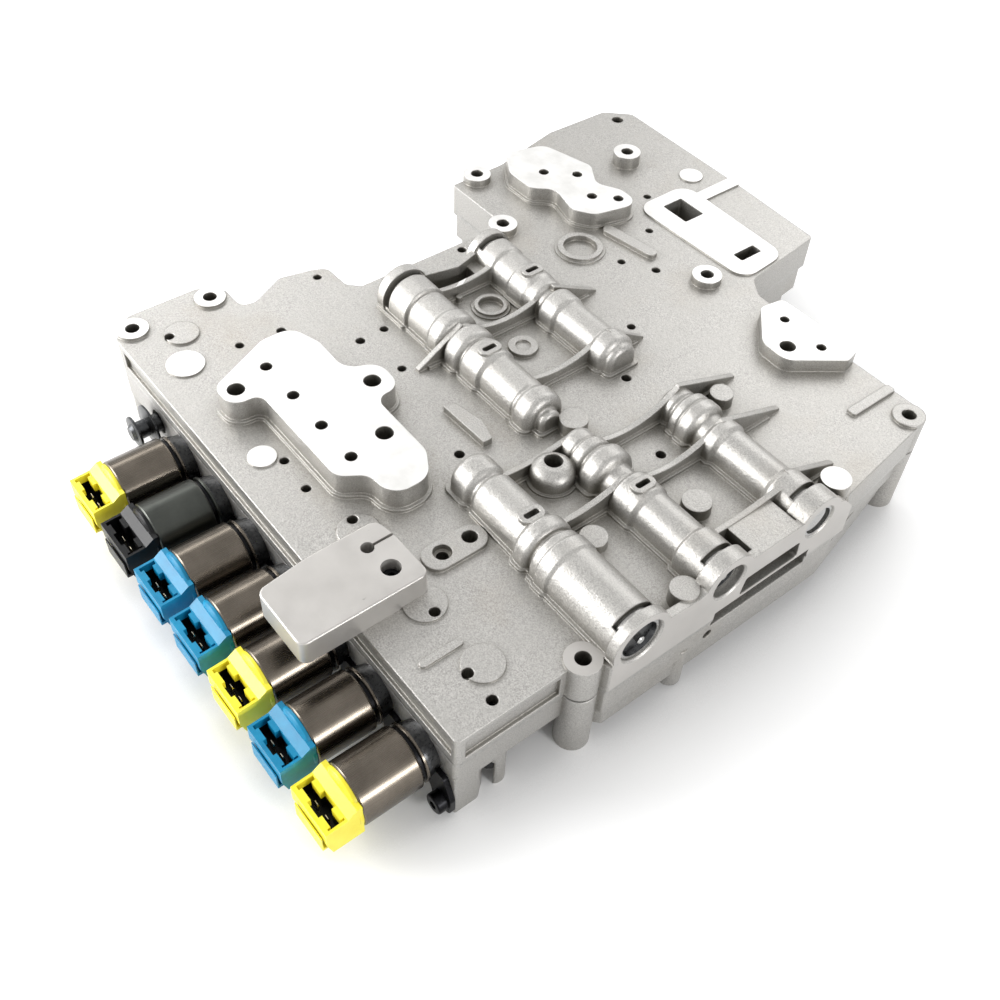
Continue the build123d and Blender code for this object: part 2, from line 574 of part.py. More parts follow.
def upper_casting():
    pad, pad_holes = large_pad()
    pads, small_holes = small_pads()
    oval, oval_holes = oval_boss()
    dome, dome_hole = dome_boss()
    body = slab(COVER_PLAN, SHEET_TOP, STACK_HEIGHT)
    body += [front_wall(), rear_wall(), front_platform(), pad, oval, dome, *pads]
    body += [*bosses(), *rings_and_bars()]
    for bore in BORES:
        body += [barrel(bore), bore_flange(bore)]
    body += [rib(*place) for place in RIBS] + [wing(*place) for place in WINGS]
    body += [window_pad(*place) for place in WINDOWS]
    cuts = [*pad_holes, *small_holes, *oval_holes, dome_hole, *surface_holes()]
    cuts += mount_holes(SHEET_TOP - PAST, STACK_HEIGHT + LARGE_PAD_RISE)
    cuts += [post(x, y, THREAD_HOLE_R, SHEET_TOP - PAST, STACK_HEIGHT + PAST) for x, y in CASTING_BOLTS]
    cuts += [post(x, y, DOWEL_R, SHEET_TOP - PAST, SHEET_TOP + DOWEL_DEPTH) for x, y in DOWELS]
    cuts += [crown_window(*place) for place in WINDOWS]
    cuts += [bore_cavity(bore) for bore in BORES] + [retainer_slot(bore) for bore in BORES]
    cuts += [front_window(), front_slot(), side_ledge(), front_panel()]
    cuts.append(slab(ARM_PLAN, STACK_HEIGHT, STACK_HEIGHT + ARM_SEAT_RISE))
    return body - cuts


def separator_plate():
    low, high = LOWER_TOP - PAST, SHEET_TOP + PAST
    cuts = mount_holes(low, high) + [front_slot()]
    cuts += [post(x, y, CLEAR_HOLE_R, low, high) for x, y in CASTING_BOLTS]
    cuts += [post(x, y, DOWEL_R, low, high) for x, y in DOWELS]
    cuts += [post(x, y, BALL_PORT_R, low, high) for x, y in BALLS]
    return slab(COVER_PLAN, LOWER_TOP, SHEET_TOP) - cuts


def solenoid_x(index):
    return ROW_END_X + SOLENOID_PITCH * index


def lower_casting():
    """The lower casting: solenoid flange, body with the feet of the bolts, and the bores."""
    body = slab(LOWER_PLAN, LOWER_TOP - RIM_DEPTH, LOWER_TOP)
    body += slab(BODY_PLAN, LOWER_FLOOR, LOWER_TOP - BODY_DEPTH)
    left = MANUAL_X - 17
    flange = slab([(left, FLANGE_Y, 4), (left, -36, 4), (-9, -36, 6), (-0.5, -46, 3), (-0.5, FLANGE_Y, 1)],
                  0, LOWER_TOP - BODY_DEPTH)
    feet = [post(x, y, BOSS_R, 0, LOWER_TOP) for x, y in MOUNT_BOSSES]
    feet.append(post(*FAR_BOLT, BOSS_R - 0.5, 0, LOWER_TOP))
    feet += [post(-4.9, -35, 4.4, 0, LOWER_TOP - BODY_DEPTH), post(4, 49, 5, 2, LOWER_TOP - BODY_DEPTH)]
    body += [flange, *feet]
    high = LOWER_TOP + PAST
    cuts = mount_holes(-PAST, high) + [front_slot()]
    for x, y in CASTING_BOLTS:
        cuts += [post(x, y, CLEAR_HOLE_R, -PAST, high), post(x, y, BOLT_WELL_R, -PAST, BOLT_SEAT)]
    cuts += [post(x, y, DOWEL_R, LOWER_TOP - DOWEL_DEPTH, high) for x, y in DOWELS]
    cuts += [post(x, y, BALL_R + 0.4, LOWER_TOP - BALL_POCKET_DEPTH, high) for x, y in BALLS]
    face, nose = FLANGE_Y - PAST, FLANGE_Y + NOSE_LENGTH + PAST
    for index in range(SOLENOID_COUNT):
        x = solenoid_x(index)
        cuts.append(along_y(NOSE_R + RUNNING_GAP, face, nose, x, SOLENOID_Z))
        cuts.append(along_y(SCREW_R, face, FLANGE_Y + SCREW_DEPTH, x + SCREW_OFFSET, SCREW_Z))
    cuts.append(along_y(MANUAL_R + RUNNING_GAP, face, FLANGE_Y + MANUAL_DEPTH, MANUAL_X, MANUAL_Z))
    cuts.append(along_x(2.3, FRONT_X - 14, FRONT_X + PAST, 61.5, LOWER_TOP - 9))
    return body - cuts


def spool(bore):
    """A turned spool with three lands and a spring spigot."""
    land, stem = bore.spool_r - RUNNING_GAP, bore.spool_r * 0.5
    start = bore.plug_end + SPRING_LENGTH
    end = bore.depth - SEAT_GAP
    length = end - start
    first, second = start + length * 0.24, start + length * 0.4
    third, fourth = start + length * 0.62, start + length * 0.82
    return bore.turned([
        (start - 4, stem * 0.8, 0), (start, stem * 0.8, 0), (start, land, 0), (first, land, 0),
        (first, stem, 0), (second, stem, 0), (second, land, 0), (third, land, 0),
        (third, stem, 0), (fourth, stem, 0), (fourth, land, 0), (end - 2, land, 0),
        (end - 2, stem, 0), (end, stem, 0)])


def spring(bore):
    """A coil spring between the end plug and the spool."""
    coil_r = bore.spool_r - WIRE_R - 0.5
    length = SPRING_LENGTH - 2 * WIRE_R - 0.4
    path = Helix(pitch=length / SPRING_TURNS, height=length, radius=coil_r)
    section = Plane(origin=path @ 0, z_dir=path % 0) * RegularPolygon(WIRE_R, 4)
    turn = Rot(0, 90 * bore.inwards, 0)
    return Pos(bore.at(bore.plug_end + WIRE_R + 0.2), bore.y, BORE_Z) * turn * sweep(section, path)


def end_plug(bore):
    """The turned plug that closes a bore, with a groove for the retainer. The right one is flush
    with its mouth and has a curved slot in its face. The others have a centre pin."""
    seat = bore.plug_r - PRESS_GAP
    groove_end = bore.groove + GROOVE_WIDTH
    tail = [(bore.groove, seat, 0), (bore.groove, seat - GROOVE_DEPTH, 0),
            (groove_end, seat - GROOVE_DEPTH, 0), (groove_end, seat, 0), (bore.plug_end, seat, 0)]
    if bore.name == "front_right":
        body = bore.turned([(MOUTH_CHAMFER, seat, 0), *tail])
        face = Circle(6.6) - Pos(-3.4, 3.4) * Circle(6.2)
        slot = extrude(Plane.YZ.offset(bore.at(5)) * face, 5)
        return body - Pos(0, bore.y, BORE_Z) * slot
    start = bore.plug_start
    return bore.turned([(start - 1, 1.7, 0), (start + 1.8, 1.7, 0), (start + 1.8, seat - 2.4, 0),
                        (start, seat - 2, 0), (start, seat, 0), *tail])


def retainer(bore):
    """The thin forked steel plate that drops through the slot into the plug's groove."""
    half = bore.plug_r - 3 * SEAT_GAP
    neck = bore.plug_r - GROOVE_DEPTH
    below = 1.5
    plate = Box(RETAINER_THICKNESS, 2 * half, 2 * bore.flange_r, align=BOTTOM)
    plate &= Pos(0, 0, below) * Rot(0, 90, 0) * Cylinder(bore.plug_r + 0.4, 2 * RETAINER_THICKNESS)
    fork = Pos(0, 0, below) * Rot(0, 90, 0) * Cylinder(neck, 6)
    gap = Box(6, 2 * neck, below, align=BOTTOM)
    middle = bore.at(bore.groove + GROOVE_WIDTH / 2)
    return Pos(middle, bore.y, BORE_Z - below) * (plate - fork - gap)


def solenoid_can(index):
    """The drawn steel can with its nose collar and the valve nose inside the casting."""
    x = solenoid_x(index)
    start, nose = FLANGE_Y - CAN_START, FLANGE_Y + NOSE_LENGTH
    ring, ring_end = FLANGE_Y + RING_START, FLANGE_Y + RING_START + RING_LENGTH
    body = turned_along_y([
        (start - CAN_LENGTH, CAN_R, 0), (start - 0.6, CAN_R, 0), (start, CAN_R - 0.6, 0),
        (start, WAIST_R, 0), (start + 1.6, WAIST_R, 0), (start + 1.6, COLLAR_R, 0),
        (start + 4.6, COLLAR_R, 0), (start + 4.6, NECK_R, 0), (FLANGE_Y, NECK_R, 0),
        (FLANGE_Y, NOSE_R, 0), (ring, NOSE_R, 0), (ring, NOSE_R - RING_DEPTH, 0),
        (ring_end, NOSE_R - RING_DEPTH, 0), (ring_end, NOSE_R, 0), (ring_end + 6, NOSE_R, 0),
        (ring_end + 8, NOSE_R - 2.5, 0), (nose - 12, NOSE_R - 2.5, 0), (nose - 10, NOSE_R, 0),
        (nose, NOSE_R, 0)], x, SOLENOID_Z)
    back = FLANGE_Y + ARMATURE_BACK
    chamber = along_y(ARMATURE_R + RUNNING_GAP, back, back + ARMATURE_LENGTH + ARMATURE_ROOM, x, SOLENOID_Z)
    guide = along_y(PIN_R + RUNNING_GAP, back + ARMATURE_LENGTH, nose + PAST, x, SOLENOID_Z)
    return body - [chamber, guide]


def armature(index):
    """The sliding iron core and its valve pin."""
    start = FLANGE_Y + ARMATURE_BACK + 0.2
    return turned_along_y([
        (start, ARMATURE_R, 0), (start + ARMATURE_LENGTH, ARMATURE_R, 0),
        (start + ARMATURE_LENGTH, PIN_R, 0), (FLANGE_Y + NOSE_LENGTH - 4, PIN_R, 0)],
        solenoid_x(index), SOLENOID_Z)


def o_ring(index):
    """A rubber ring pressed flat in its groove on the nose."""
    low, high = FLANGE_Y + RING_START + 0.1, FLANGE_Y + RING_START + RING_LENGTH - 0.1
    inner, outer = NOSE_R - RING_DEPTH + 0.02, NOSE_R + 0.02
    section = make_face(Polyline((low, inner), (low, outer), (high, outer), (high, inner), close=True))
    return Pos(solenoid_x(index), 0, SOLENOID_Z) * Rot(0, 0, 90) * revolve(section, Axis.X, 360)


def connector_cap(index):
    """The moulded connector: a disc against the can and a block with an open, keyed socket."""
    start = FLANGE_Y - CAN_START - CAN_LENGTH
    profile = [
        (0, -9.5, 3), (0, 8.4, 0.8), (-2.2, 8.4, 0.5), (-6, 5.8, 0.4), (-CAP_LENGTH, 5.2, 0.3),
        (-CAP_LENGTH, -3, 0.5), (-CAP_LENGTH + 1.2, -7, 2),
    ]
    body = extrude(Plane.YZ.offset(-CAP_HALF_WIDTH) * outline(profile), 2 * CAP_HALF_WIDTH)
    body += along_y(CAN_R - 0.9, -2.4, 0, 0, 0) & Box(2 * CAP_HALF_WIDTH, 60, 60)
    body -= Pos(0, SOCKET_Y, SOCKET_FLOOR) * Box(2 * CAP_HALF_WIDTH - 3, SOCKET_LENGTH, 20, align=BOTTOM)
    front, back = SOCKET_Y - SOCKET_LENGTH / 2, SOCKET_Y + SOCKET_LENGTH / 2
    for side in (-1, 1):
        body += Pos(side * 6.2, front + 0.6, SOCKET_FLOOR) * Box(4.8, 1.4, 8.8, align=BOTTOM)
        body += Pos(side * 4.6, back - 0.5, SOCKET_FLOOR) * Box(4.2, 1.2, 9.2, align=BOTTOM)
    return Pos(solenoid_x(index), start, SOLENOID_Z) * body


def terminals(index):
    """The two flat blades that stand in the socket."""
    place = Pos(solenoid_x(index), FLANGE_Y - CAN_START - CAN_LENGTH + SOCKET_Y, SOLENOID_Z + SOCKET_FLOOR)
    blade = Box(BLADE_WIDTH, BLADE_THICKNESS, BLADE_HEIGHT, align=BOTTOM)
    return [place * Pos(side * 3.4, 0, 0) * blade for side in (-1, 1)]


def hold_down(index):
    """The stamped steel plate whose tongue sits behind the nose collar."""
    x = solenoid_x(index) + SCREW_OFFSET
    corners = [(-5.4, -6.4, 3), (-8.6, 3, 1), (-6, 15, 2), (0.6, 15, 2), (5.2, 4, 3), (5.2, -6.4, 4)]
    face = outline([(x + dx, SCREW_Z + dz, r) for dx, dz, r in corners])
    plate = extrude(Plane.XZ.offset(-FLANGE_Y) * face, HOLD_DOWN_THICKNESS)
    low, high = FLANGE_Y - 2 * HOLD_DOWN_THICKNESS, FLANGE_Y + PAST
    collar = along_y(NECK_R + SEAT_GAP, low, high, solenoid_x(index), SOLENOID_Z)
    return plate - collar - along_y(SCREW_R + 0.2, low, high, x, SCREW_Z)


def hex_socket(radius, depth, place):
    return place * extrude(RegularPolygon(radius, 6), depth, both=True)


def hold_down_screw(index):
    x = solenoid_x(index) + SCREW_OFFSET
    seat = FLANGE_Y - HOLD_DOWN_THICKNESS
    crown = seat - SCREW_HEAD_HEIGHT
    body = turned_along_y([
        (crown, SCREW_HEAD_R - 0.5, 0), (crown + 0.5, SCREW_HEAD_R, 0), (seat, SCREW_HEAD_R, 0),
        (seat, SCREW_R - RUNNING_GAP, 0), (FLANGE_Y + SCREW_DEPTH - 2, SCREW_R - RUNNING_GAP, 0)],
        x, SCREW_Z)
    return body - hex_socket(2.1, 2.4, Pos(x, crown, SCREW_Z) * Rot(90, 0, 0))


def manual_valve():
    """The selector valve: lands in the bore and a two-disc head for the selector lever."""
    face = FLANGE_Y
    return turned_along_y([
        (face - 14, 3.4, 0), (face - 12.6, 7.6, 0), (face - 10.6, 7.6, 0), (face - 9.6, 4.2, 0),
        (face - 6.6, 4.2, 0), (face - 5.6, 10.2, 0), (face - 4, 10.2, 0), (face - 3, 4.4, 0),
        (face + 2, 4.4, 0), (face + 2, MANUAL_R, 0), (face + 16, MANUAL_R, 0),
        (face + 16, MANUAL_STEM_R, 0), (face + 28, MANUAL_STEM_R, 0), (face + 28, MANUAL_R, 0),
        (face + 40, MANUAL_R, 0), (face + 40, MANUAL_STEM_R, 0), (face + 48, MANUAL_STEM_R, 0),
        (face + 48, MANUAL_R, 0), (face + MANUAL_DEPTH - 14, MANUAL_R, 0)], MANUAL_X, MANUAL_Z)


def arm_block():
    """The cast block that stands on the cover and reaches out over the solenoids."""
    low, top = STACK_HEIGHT - PAST, STACK_HEIGHT + ARM_RISE
    body = slab(ARM_PLAN, STACK_HEIGHT, top)
    body = chamfer(body.faces().sort_by(Axis.Z)[-1].edges(), 0.6)
    x, y = ARM_HOLE
    slit = block(x - 0.6, x + 0.6, y, y + 13, low, top + PAST)
    hole = post(x, y, 2.7, low, top + PAST)
    well = post(*ARM_SCREW, ARM_HEAD_R + 0.5, STACK_HEIGHT + ARM_SEAT_RISE, top + PAST)
    screw = post(*ARM_SCREW, ARM_THREAD_R + 0.1, low, top)
    return body - [slit, hole, well, screw]


def arm_block_screw():
    seat = STACK_HEIGHT + ARM_SEAT_RISE
    body = post(*ARM_SCREW, ARM_HEAD_R, seat, seat + 3.2)
    body += post(*ARM_SCREW, ARM_THREAD_R - RUNNING_GAP, STACK_HEIGHT - 8, seat)
    return body - hex_socket(1.5, 2, Pos(*ARM_SCREW, seat + 3.2))


def casting_bolt(x, y):
    head = post(x, y, BOLT_HEAD_R, BOLT_SEAT - BOLT_HEAD_HEIGHT, BOLT_SEAT)
    shank = post(x, y, THREAD_HOLE_R - PRESS_GAP, BOLT_SEAT, STACK_HEIGHT - 5)
    return head + shank - hex_socket(2.3, 3, Pos(x, y, BOLT_SEAT - BOLT_HEAD_HEIGHT))


def dowel(x, y):
    depth = DOWEL_DEPTH - SEAT_GAP
    return post(x, y, DOWEL_R - PRESS_GAP, LOWER_TOP - depth, SHEET_TOP + depth)


def check_ball(x, y):
    return Pos(x, y, LOWER_TOP - BALL_POCKET_DEPTH + BALL_R) * Sphere(BALL_R)


def build_nodes():
    nodes = {
        "upper_casting": upper_casting(),
        "separator_plate": separator_plate(),
        "lower_casting": lower_casting(),
        "manual_valve": manual_valve(),
        "arm_block": arm_block(),
        "arm_block_screw": arm_block_screw(),
        "casting_bolts": group(casting_bolt(*spot) for spot in CASTING_BOLTS),
        "dowels": group(dowel(*spot) for spot in DOWELS),
        "check_balls": group(check_ball(*spot) for spot in BALLS),
    }
    for bore in BORES:
        nodes[f"spool_{bore.name}"] = spool(bore)
        nodes[f"spring_{bore.name}"] = spring(bore)
        nodes[f"plug_{bore.name}"] = end_plug(bore)
        nodes[f"retainer_{bore.name}"] = retainer(bore)
    row = range(SOLENOID_COUNT)
    for index in row:
        nodes[f"solenoid_{index + 1}_can"] = solenoid_can(index)
        nodes[f"solenoid_{index + 1}_cap"] = connector_cap(index)
        nodes[f"solenoid_{index + 1}_armature"] = armature(index)
    nodes["solenoid_terminals"] = group(blade for index in row for blade in terminals(index))
    nodes["solenoid_o_rings"] = group(o_ring(index) for index in row)
    nodes["hold_down_plates"] = group(hold_down(index) for index in row)
    nodes["hold_down_screws"] = group(hold_down_screw(index) for index in row)
    return nodes


os.makedirs("parts", exist_ok=True)
for name, shape in build_nodes().items():
    export_step(shape, f"parts/{name}.step")
    print(name, round(shape.volume / 1000, 2), "cm3")
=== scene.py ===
# %% [markdown]
# A transmission valve body is a pair of die-cast aluminium plates with bores for spool valves. Seven
# solenoids stand along one edge and steer the oil. The CAD frame already holds every piece at its real
# size. This lesson gives each surface its finish and remodels the pieces that an eye looks at closely.

# %% Load the frame
import json
import math

import bmesh
import bpy
from mathutils import Matrix, Vector


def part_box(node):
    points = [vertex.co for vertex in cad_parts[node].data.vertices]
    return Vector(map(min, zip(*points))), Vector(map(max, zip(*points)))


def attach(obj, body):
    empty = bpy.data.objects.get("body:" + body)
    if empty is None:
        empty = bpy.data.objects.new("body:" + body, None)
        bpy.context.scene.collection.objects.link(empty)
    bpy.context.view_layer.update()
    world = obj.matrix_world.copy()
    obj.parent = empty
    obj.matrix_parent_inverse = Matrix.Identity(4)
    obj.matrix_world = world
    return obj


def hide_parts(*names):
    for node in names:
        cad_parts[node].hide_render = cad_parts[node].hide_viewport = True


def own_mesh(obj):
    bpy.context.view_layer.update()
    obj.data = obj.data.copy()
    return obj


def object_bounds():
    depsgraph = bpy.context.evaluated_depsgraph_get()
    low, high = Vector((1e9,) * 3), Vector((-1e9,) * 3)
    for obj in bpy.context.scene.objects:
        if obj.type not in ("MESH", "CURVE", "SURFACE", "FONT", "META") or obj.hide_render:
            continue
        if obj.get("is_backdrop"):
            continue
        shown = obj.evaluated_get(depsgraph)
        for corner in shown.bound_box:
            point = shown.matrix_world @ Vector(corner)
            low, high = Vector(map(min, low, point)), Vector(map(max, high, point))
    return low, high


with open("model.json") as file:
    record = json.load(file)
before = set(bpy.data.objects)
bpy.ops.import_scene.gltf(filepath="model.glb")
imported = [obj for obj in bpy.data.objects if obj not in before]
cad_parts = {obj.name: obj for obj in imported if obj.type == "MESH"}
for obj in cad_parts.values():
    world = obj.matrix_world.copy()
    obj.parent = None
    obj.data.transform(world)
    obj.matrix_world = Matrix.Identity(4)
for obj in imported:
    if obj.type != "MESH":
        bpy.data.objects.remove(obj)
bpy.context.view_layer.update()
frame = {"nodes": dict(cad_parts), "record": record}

nodes = frame["nodes"]

# %% [markdown]
# Sizes are easiest to read in millimetres, while Blender works in metres. One factor turns the one into
# the other. Every piece is shaped at its place in the frame, so its object stays at the origin.

# %% Units and places
MM = 0.001
AXES = {"x": Vector((1, 0, 0)), "y": Vector((0, 1, 0)), "z": Vector((0, 0, 1))}
LATHE_TURN = {"x": (0, math.pi / 2, 0), "y": (-math.pi / 2, 0, 0), "z": (0, 0, 0)}


def mm(*values):
    """A point or size given in millimetres, in metres."""
    return Vector(values) * MM


# %% [markdown]
# An operator acts on all that is selected, and the frame arrives selected. So each piece starts with
# nothing selected, and faces or edges are then picked in code, by where they are or which way they face.

# %% Selecting in code


def deselect():
    if bpy.context.object and bpy.context.object.mode != "OBJECT":
        bpy.ops.object.mode_set(mode="OBJECT")
    bpy.ops.object.select_all(action="DESELECT")


def pick(piece):
    deselect()
    piece.select_set(True)
    bpy.context.view_layer.objects.active = piece


def edit_faces(piece, wanted):
    """Opens the piece in edit mode with only the wanted faces selected."""
    pick(piece)
    bpy.ops.object.mode_set(mode="EDIT")
    bpy.ops.mesh.select_mode(type="FACE")
    mesh = bmesh.from_edit_mesh(piece.data)
    for face in mesh.faces:
        face.select_set(bool(wanted(face)))
    bmesh.update_edit_mesh(piece.data)


def edit_edges(piece, wanted):
    """Opens the piece in edit mode with only the wanted edges selected."""
    pick(piece)
    bpy.ops.object.mode_set(mode="EDIT")
    bpy.ops.mesh.select_mode(type="EDGE")
    mesh = bmesh.from_edit_mesh(piece.data)
    for edge in mesh.edges:
        edge.select_set(bool(wanted(edge)))
    mesh.select_flush_mode()
    bmesh.update_edit_mesh(piece.data)


def along(edge, axis):
    """True for an edge that runs along the axis."""
    run = edge.verts[1].co - edge.verts[0].co
    return run.length > 0 and abs(run.normalized().dot(AXES[axis])) > 0.999


# %% [markdown]
# A block starts as a cube at its size and place. Its slopes are cut with bisect, which slices the mesh
# with a plane and closes the cut, as a saw and a file would.

# %% Blocks and cuts


def block(name, low, high):
    """A cube between two corners, in metres, with its place in its mesh."""
    deselect()
    bpy.ops.mesh.primitive_cube_add(size=1, location=(low + high) / 2)
    piece = bpy.context.object
    piece.name = piece.data.name = name
    piece.scale = high - low
    bpy.ops.object.transform_apply(location=True, rotation=True, scale=True)
    return piece


def saw(piece, point, normal):
    """Cuts away what lies on the normal's side of a plane."""
    edit_faces(piece, lambda face: True)
    bpy.ops.mesh.bisect(plane_co=point, plane_no=normal, use_fill=True, clear_outer=True)
    bpy.ops.object.mode_set(mode="OBJECT")


def round_edges(piece, wanted, radius, segments):
    edit_edges(piece, wanted)
    bpy.ops.mesh.bevel(offset=radius, segments=segments, affect="EDGES")
    bpy.ops.object.mode_set(mode="OBJECT")


# %% [markdown]
# A turned piece is made as on a lathe: a disc is extruded along its axis and resized at each step. The
# last disc closes the end. Where two steps share an offset, the result is a flat shoulder.

# %% The lathe


def turned(name, centre, axis, steps, sides):
    """Discs along the axis from (offset, radius) steps in millimetres from the centre."""
    direction = AXES[axis]
    offset, radius = steps[0]
    deselect()
    bpy.ops.mesh.primitive_circle_add(
        vertices=sides, radius=radius * MM, fill_type="NGON",
        location=centre + direction * offset * MM, rotation=LATHE_TURN[axis])
    piece = bpy.context.object
    piece.name = piece.data.name = name
    bpy.ops.object.transform_apply(location=True, rotation=True, scale=True)
    bpy.ops.object.mode_set(mode="EDIT")
    bpy.ops.mesh.select_all(action="SELECT")
    for next_offset, next_radius in steps[1:]:
        shift = direction * (next_offset - offset) * MM
        bpy.ops.mesh.extrude_region_move(TRANSFORM_OT_translate={"value": shift})
        grow = next_radius / radius
        bpy.ops.transform.resize(
            value=(grow, grow, grow), center_override=centre + direction * next_offset * MM)
        offset, radius = next_offset, next_radius
    bpy.ops.mesh.select_all(action="SELECT")
    bpy.ops.mesh.normals_make_consistent(inside=False)
    bpy.ops.object.mode_set(mode="OBJECT")
    return piece


# %% [markdown]
# Two closed shapes are joined or subtracted with a Boolean modifier, and the tool piece is then thrown
# away. A Bevel modifier breaks the sharp edges, because a real edge always catches a thin line of light.

# %% Joining, subtracting and finishing
SHARP_ANGLE = math.radians(35)


def combine(piece, tool, operation):
    pick(piece)
    modifier = piece.modifiers.new("combine", "BOOLEAN")
    modifier.operation = operation
    modifier.solver = "EXACT"
    modifier.object = tool
    bpy.ops.object.modifier_apply(modifier="combine")
    bpy.data.objects.remove(tool)


def break_edges(piece, width_mm, segments=2):
    pick(piece)
    modifier = piece.modifiers.new("edges", "BEVEL")
    modifier.width = width_mm * MM
    modifier.segments = segments
    modifier.limit_method = "ANGLE"
    modifier.angle_limit = SHARP_ANGLE
    modifier.miter_outer = "MITER_ARC"
    bpy.ops.object.modifier_apply(modifier="edges")


def smooth(piece, angle=32):
    """Smooth over edges below an angle in degrees, with normals that keep large flat faces flat."""
    pick(piece)
    bpy.ops.object.shade_smooth_by_angle(angle=math.radians(angle))
    modifier = piece.modifiers.new("normals", "WEIGHTED_NORMAL")
    modifier.keep_sharp = True
    bpy.ops.object.modifier_apply(modifier="normals")


def copy_to(piece, name, shift):
    """A copy with its own mesh, moved by shift."""
    pick(piece)
    bpy.ops.object.duplicate(linked=False)
    copy = bpy.context.object
    copy.name = copy.data.name = name
    copy.location = shift
    bpy.ops.object.transform_apply(location=True, rotation=True, scale=True)
    return copy


def coat(piece, which, *names):
    """Gives a piece its finishes, by name. Which one a face takes is worked out from the face."""
    for name in names:
        piece.data.materials.append(finishes[name])
    for polygon in piece.data.polygons:
        polygon.material_index = which(polygon)


def hand_over(piece, body, node):
    """Puts a finished piece on its body and in place of its CAD node."""
    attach(piece, body)
    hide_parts(node)


# %% [markdown]
# Colours are written as the eye reads them, in sRGB hex. The renderer works with linear light, so one
# function turns them. A second one adds a shader node with its settings, values and links. The rest are
# the patterns that all materials share: a noise, a mix of two colours, a range and a bump.

# %% Colours and nodes


def linear(hex_colour):
    """An sRGB hex colour as linear light, with full opacity."""
    values = []
    for start in (1, 3, 5):
        shade = int(hex_colour[start:start + 2], 16) / 255
        values.append(shade / 12.92 if shade <= 0.04045 else ((shade + 0.055) / 1.055) ** 2.4)
    return (*values, 1.0)


def add(tree, kind, settings=None, inputs=None):
    """One node. An input given another node's socket is linked, and any other value is set."""
    node = tree.nodes.new(kind)
    for name, value in (settings or {}).items():
        setattr(node, name, value)
    for name, value in (inputs or {}).items():
        if isinstance(value, bpy.types.NodeSocket):
            tree.links.new(value, node.inputs[name])
        else:
            node.inputs[name].default_value = value
    return node


def new_material(name):
    """A material with its node tree, its shader and the object coordinates."""
    material = bpy.data.materials.new(name)
    material.use_nodes = True
    tree = material.node_tree
    shader = tree.nodes["Principled BSDF"]
    place = add(tree, "ShaderNodeTexCoord").outputs["Object"]
    return material, tree, shader, place


def noise(tree, place, size_mm, detail, stretch_y=1):
    """A noise with features of about size_mm, drawn out along Y by a stretch above one."""
    if stretch_y != 1:
        squeeze = (1, 1 / stretch_y, 1)
        place = add(tree, "ShaderNodeMapping", None, {"Vector": place, "Scale": squeeze}).outputs[0]
    pattern = add(tree, "ShaderNodeTexNoise", None,
                  {"Vector": place, "Scale": 1 / (size_mm * MM), "Detail": detail, "Roughness": 0.6})
    return pattern.outputs["Fac"]


def blend(tree, amount, low, high):
    """Mixes two colours, each a hex string or a socket, by a socket's amount."""
    colours = [linear(value) if isinstance(value, str) else value for value in (low, high)]
    node = add(tree, "ShaderNodeMix", {"data_type": "RGBA"})
    tree.links.new(amount, node.inputs[0])
    for socket, value in zip((node.inputs[6], node.inputs[7]), colours):
        if isinstance(value, bpy.types.NodeSocket):
            tree.links.new(value, socket)
        else:
            socket.default_value = value
    return node.outputs[2]


def spread(tree, amount, low, high, start=0.3, end=0.7):
    """Stretches a pattern's range from start and end to low and high."""
    return add(tree, "ShaderNodeMapRange", None, {
        "Value": amount, "From Min": start, "From Max": end, "To Min": low, "To Max": high}).outputs[0]


def bump(tree, height, depth_mm, strength, edge_mm=None):
    """A bump of a real depth. With edge_mm the normals are rounded over the edges first."""
    inputs = {"Height": height, "Distance": depth_mm * MM, "Strength": strength}
    if edge_mm:
        rounded = add(tree, "ShaderNodeBevel", {"samples": 6}, {"Radius": edge_mm * MM})
        inputs["Normal"] = rounded.outputs["Normal"]
    return add(tree, "ShaderNodeBump", None, inputs).outputs["Normal"]


def finish(tree, shader, values):
    """Sets or links the shader's own inputs."""
    for name, value in values.items():
        if isinstance(value, bpy.types.NodeSocket):
            tree.links.new(value, shader.inputs[name])
        else:
            shader.inputs[name].default_value = value


# %% [markdown]
# Die-cast aluminium has a matt skin from the steel die and from shot blasting. Up close it is a fine
# speckle of lighter and darker grains over shallow lumps, with a few warm stains from oil. The skin is
# darker wherever it is enclosed, which is painted shade in the corners. Its edges are never sharp, so the
# normals are rounded over about a millimetre.

# %% Die-cast aluminium
PAINTED_SHADE_REACH_MM = 12


def cast_aluminium():
    material, tree, shader, place = new_material("die_cast_aluminium")
    grain = noise(tree, place, 0.55, 3)
    patch = noise(tree, place, 14, 3)
    stain = noise(tree, place, 42, 4)
    metal = blend(tree, spread(tree, grain, 0, 1, 0.35, 0.65), "#959390", "#c1bfbb")
    metal = blend(tree, spread(tree, patch, 0, 0.5), metal, "#aeaca8")
    metal = blend(tree, spread(tree, stain, 0, 0.3, 0.54, 0.76), metal, "#a0978a")
    # Painted shade: an ambient occlusion mask darkens the skin towards #6f6b61 in enclosed corners.
    painted_shade_ao = add(tree, "ShaderNodeAmbientOcclusion", {"samples": 6, "only_local": True},
                   {"Distance": PAINTED_SHADE_REACH_MM * MM}).outputs["AO"]
    metal = blend(tree, spread(tree, painted_shade_ao, 0.8, 0, 0.2, 0.9), metal, "#6f6b61")
    lumps = noise(tree, place, 2.0, 2)
    skin = add(tree, "ShaderNodeMath", {"operation": "MULTIPLY_ADD"},
               {0: lumps, 1: 1.8, 2: grain}).outputs[0]
    finish(tree, shader, {
        "Base Color": metal, "Metallic": 0.85,
        "Roughness": spread(tree, grain, 0.38, 0.50, 0.3, 0.7),
        "Normal": bump(tree, skin, 0.09, 1.0, edge_mm=0.9)})
    return material


# %% [markdown]
# Where a seat or a flange face has to be flat, the casting is milled. The cut metal is much brighter than
# the cast skin and smooth, with faint lines from the cutter.

# %% Milled aluminium


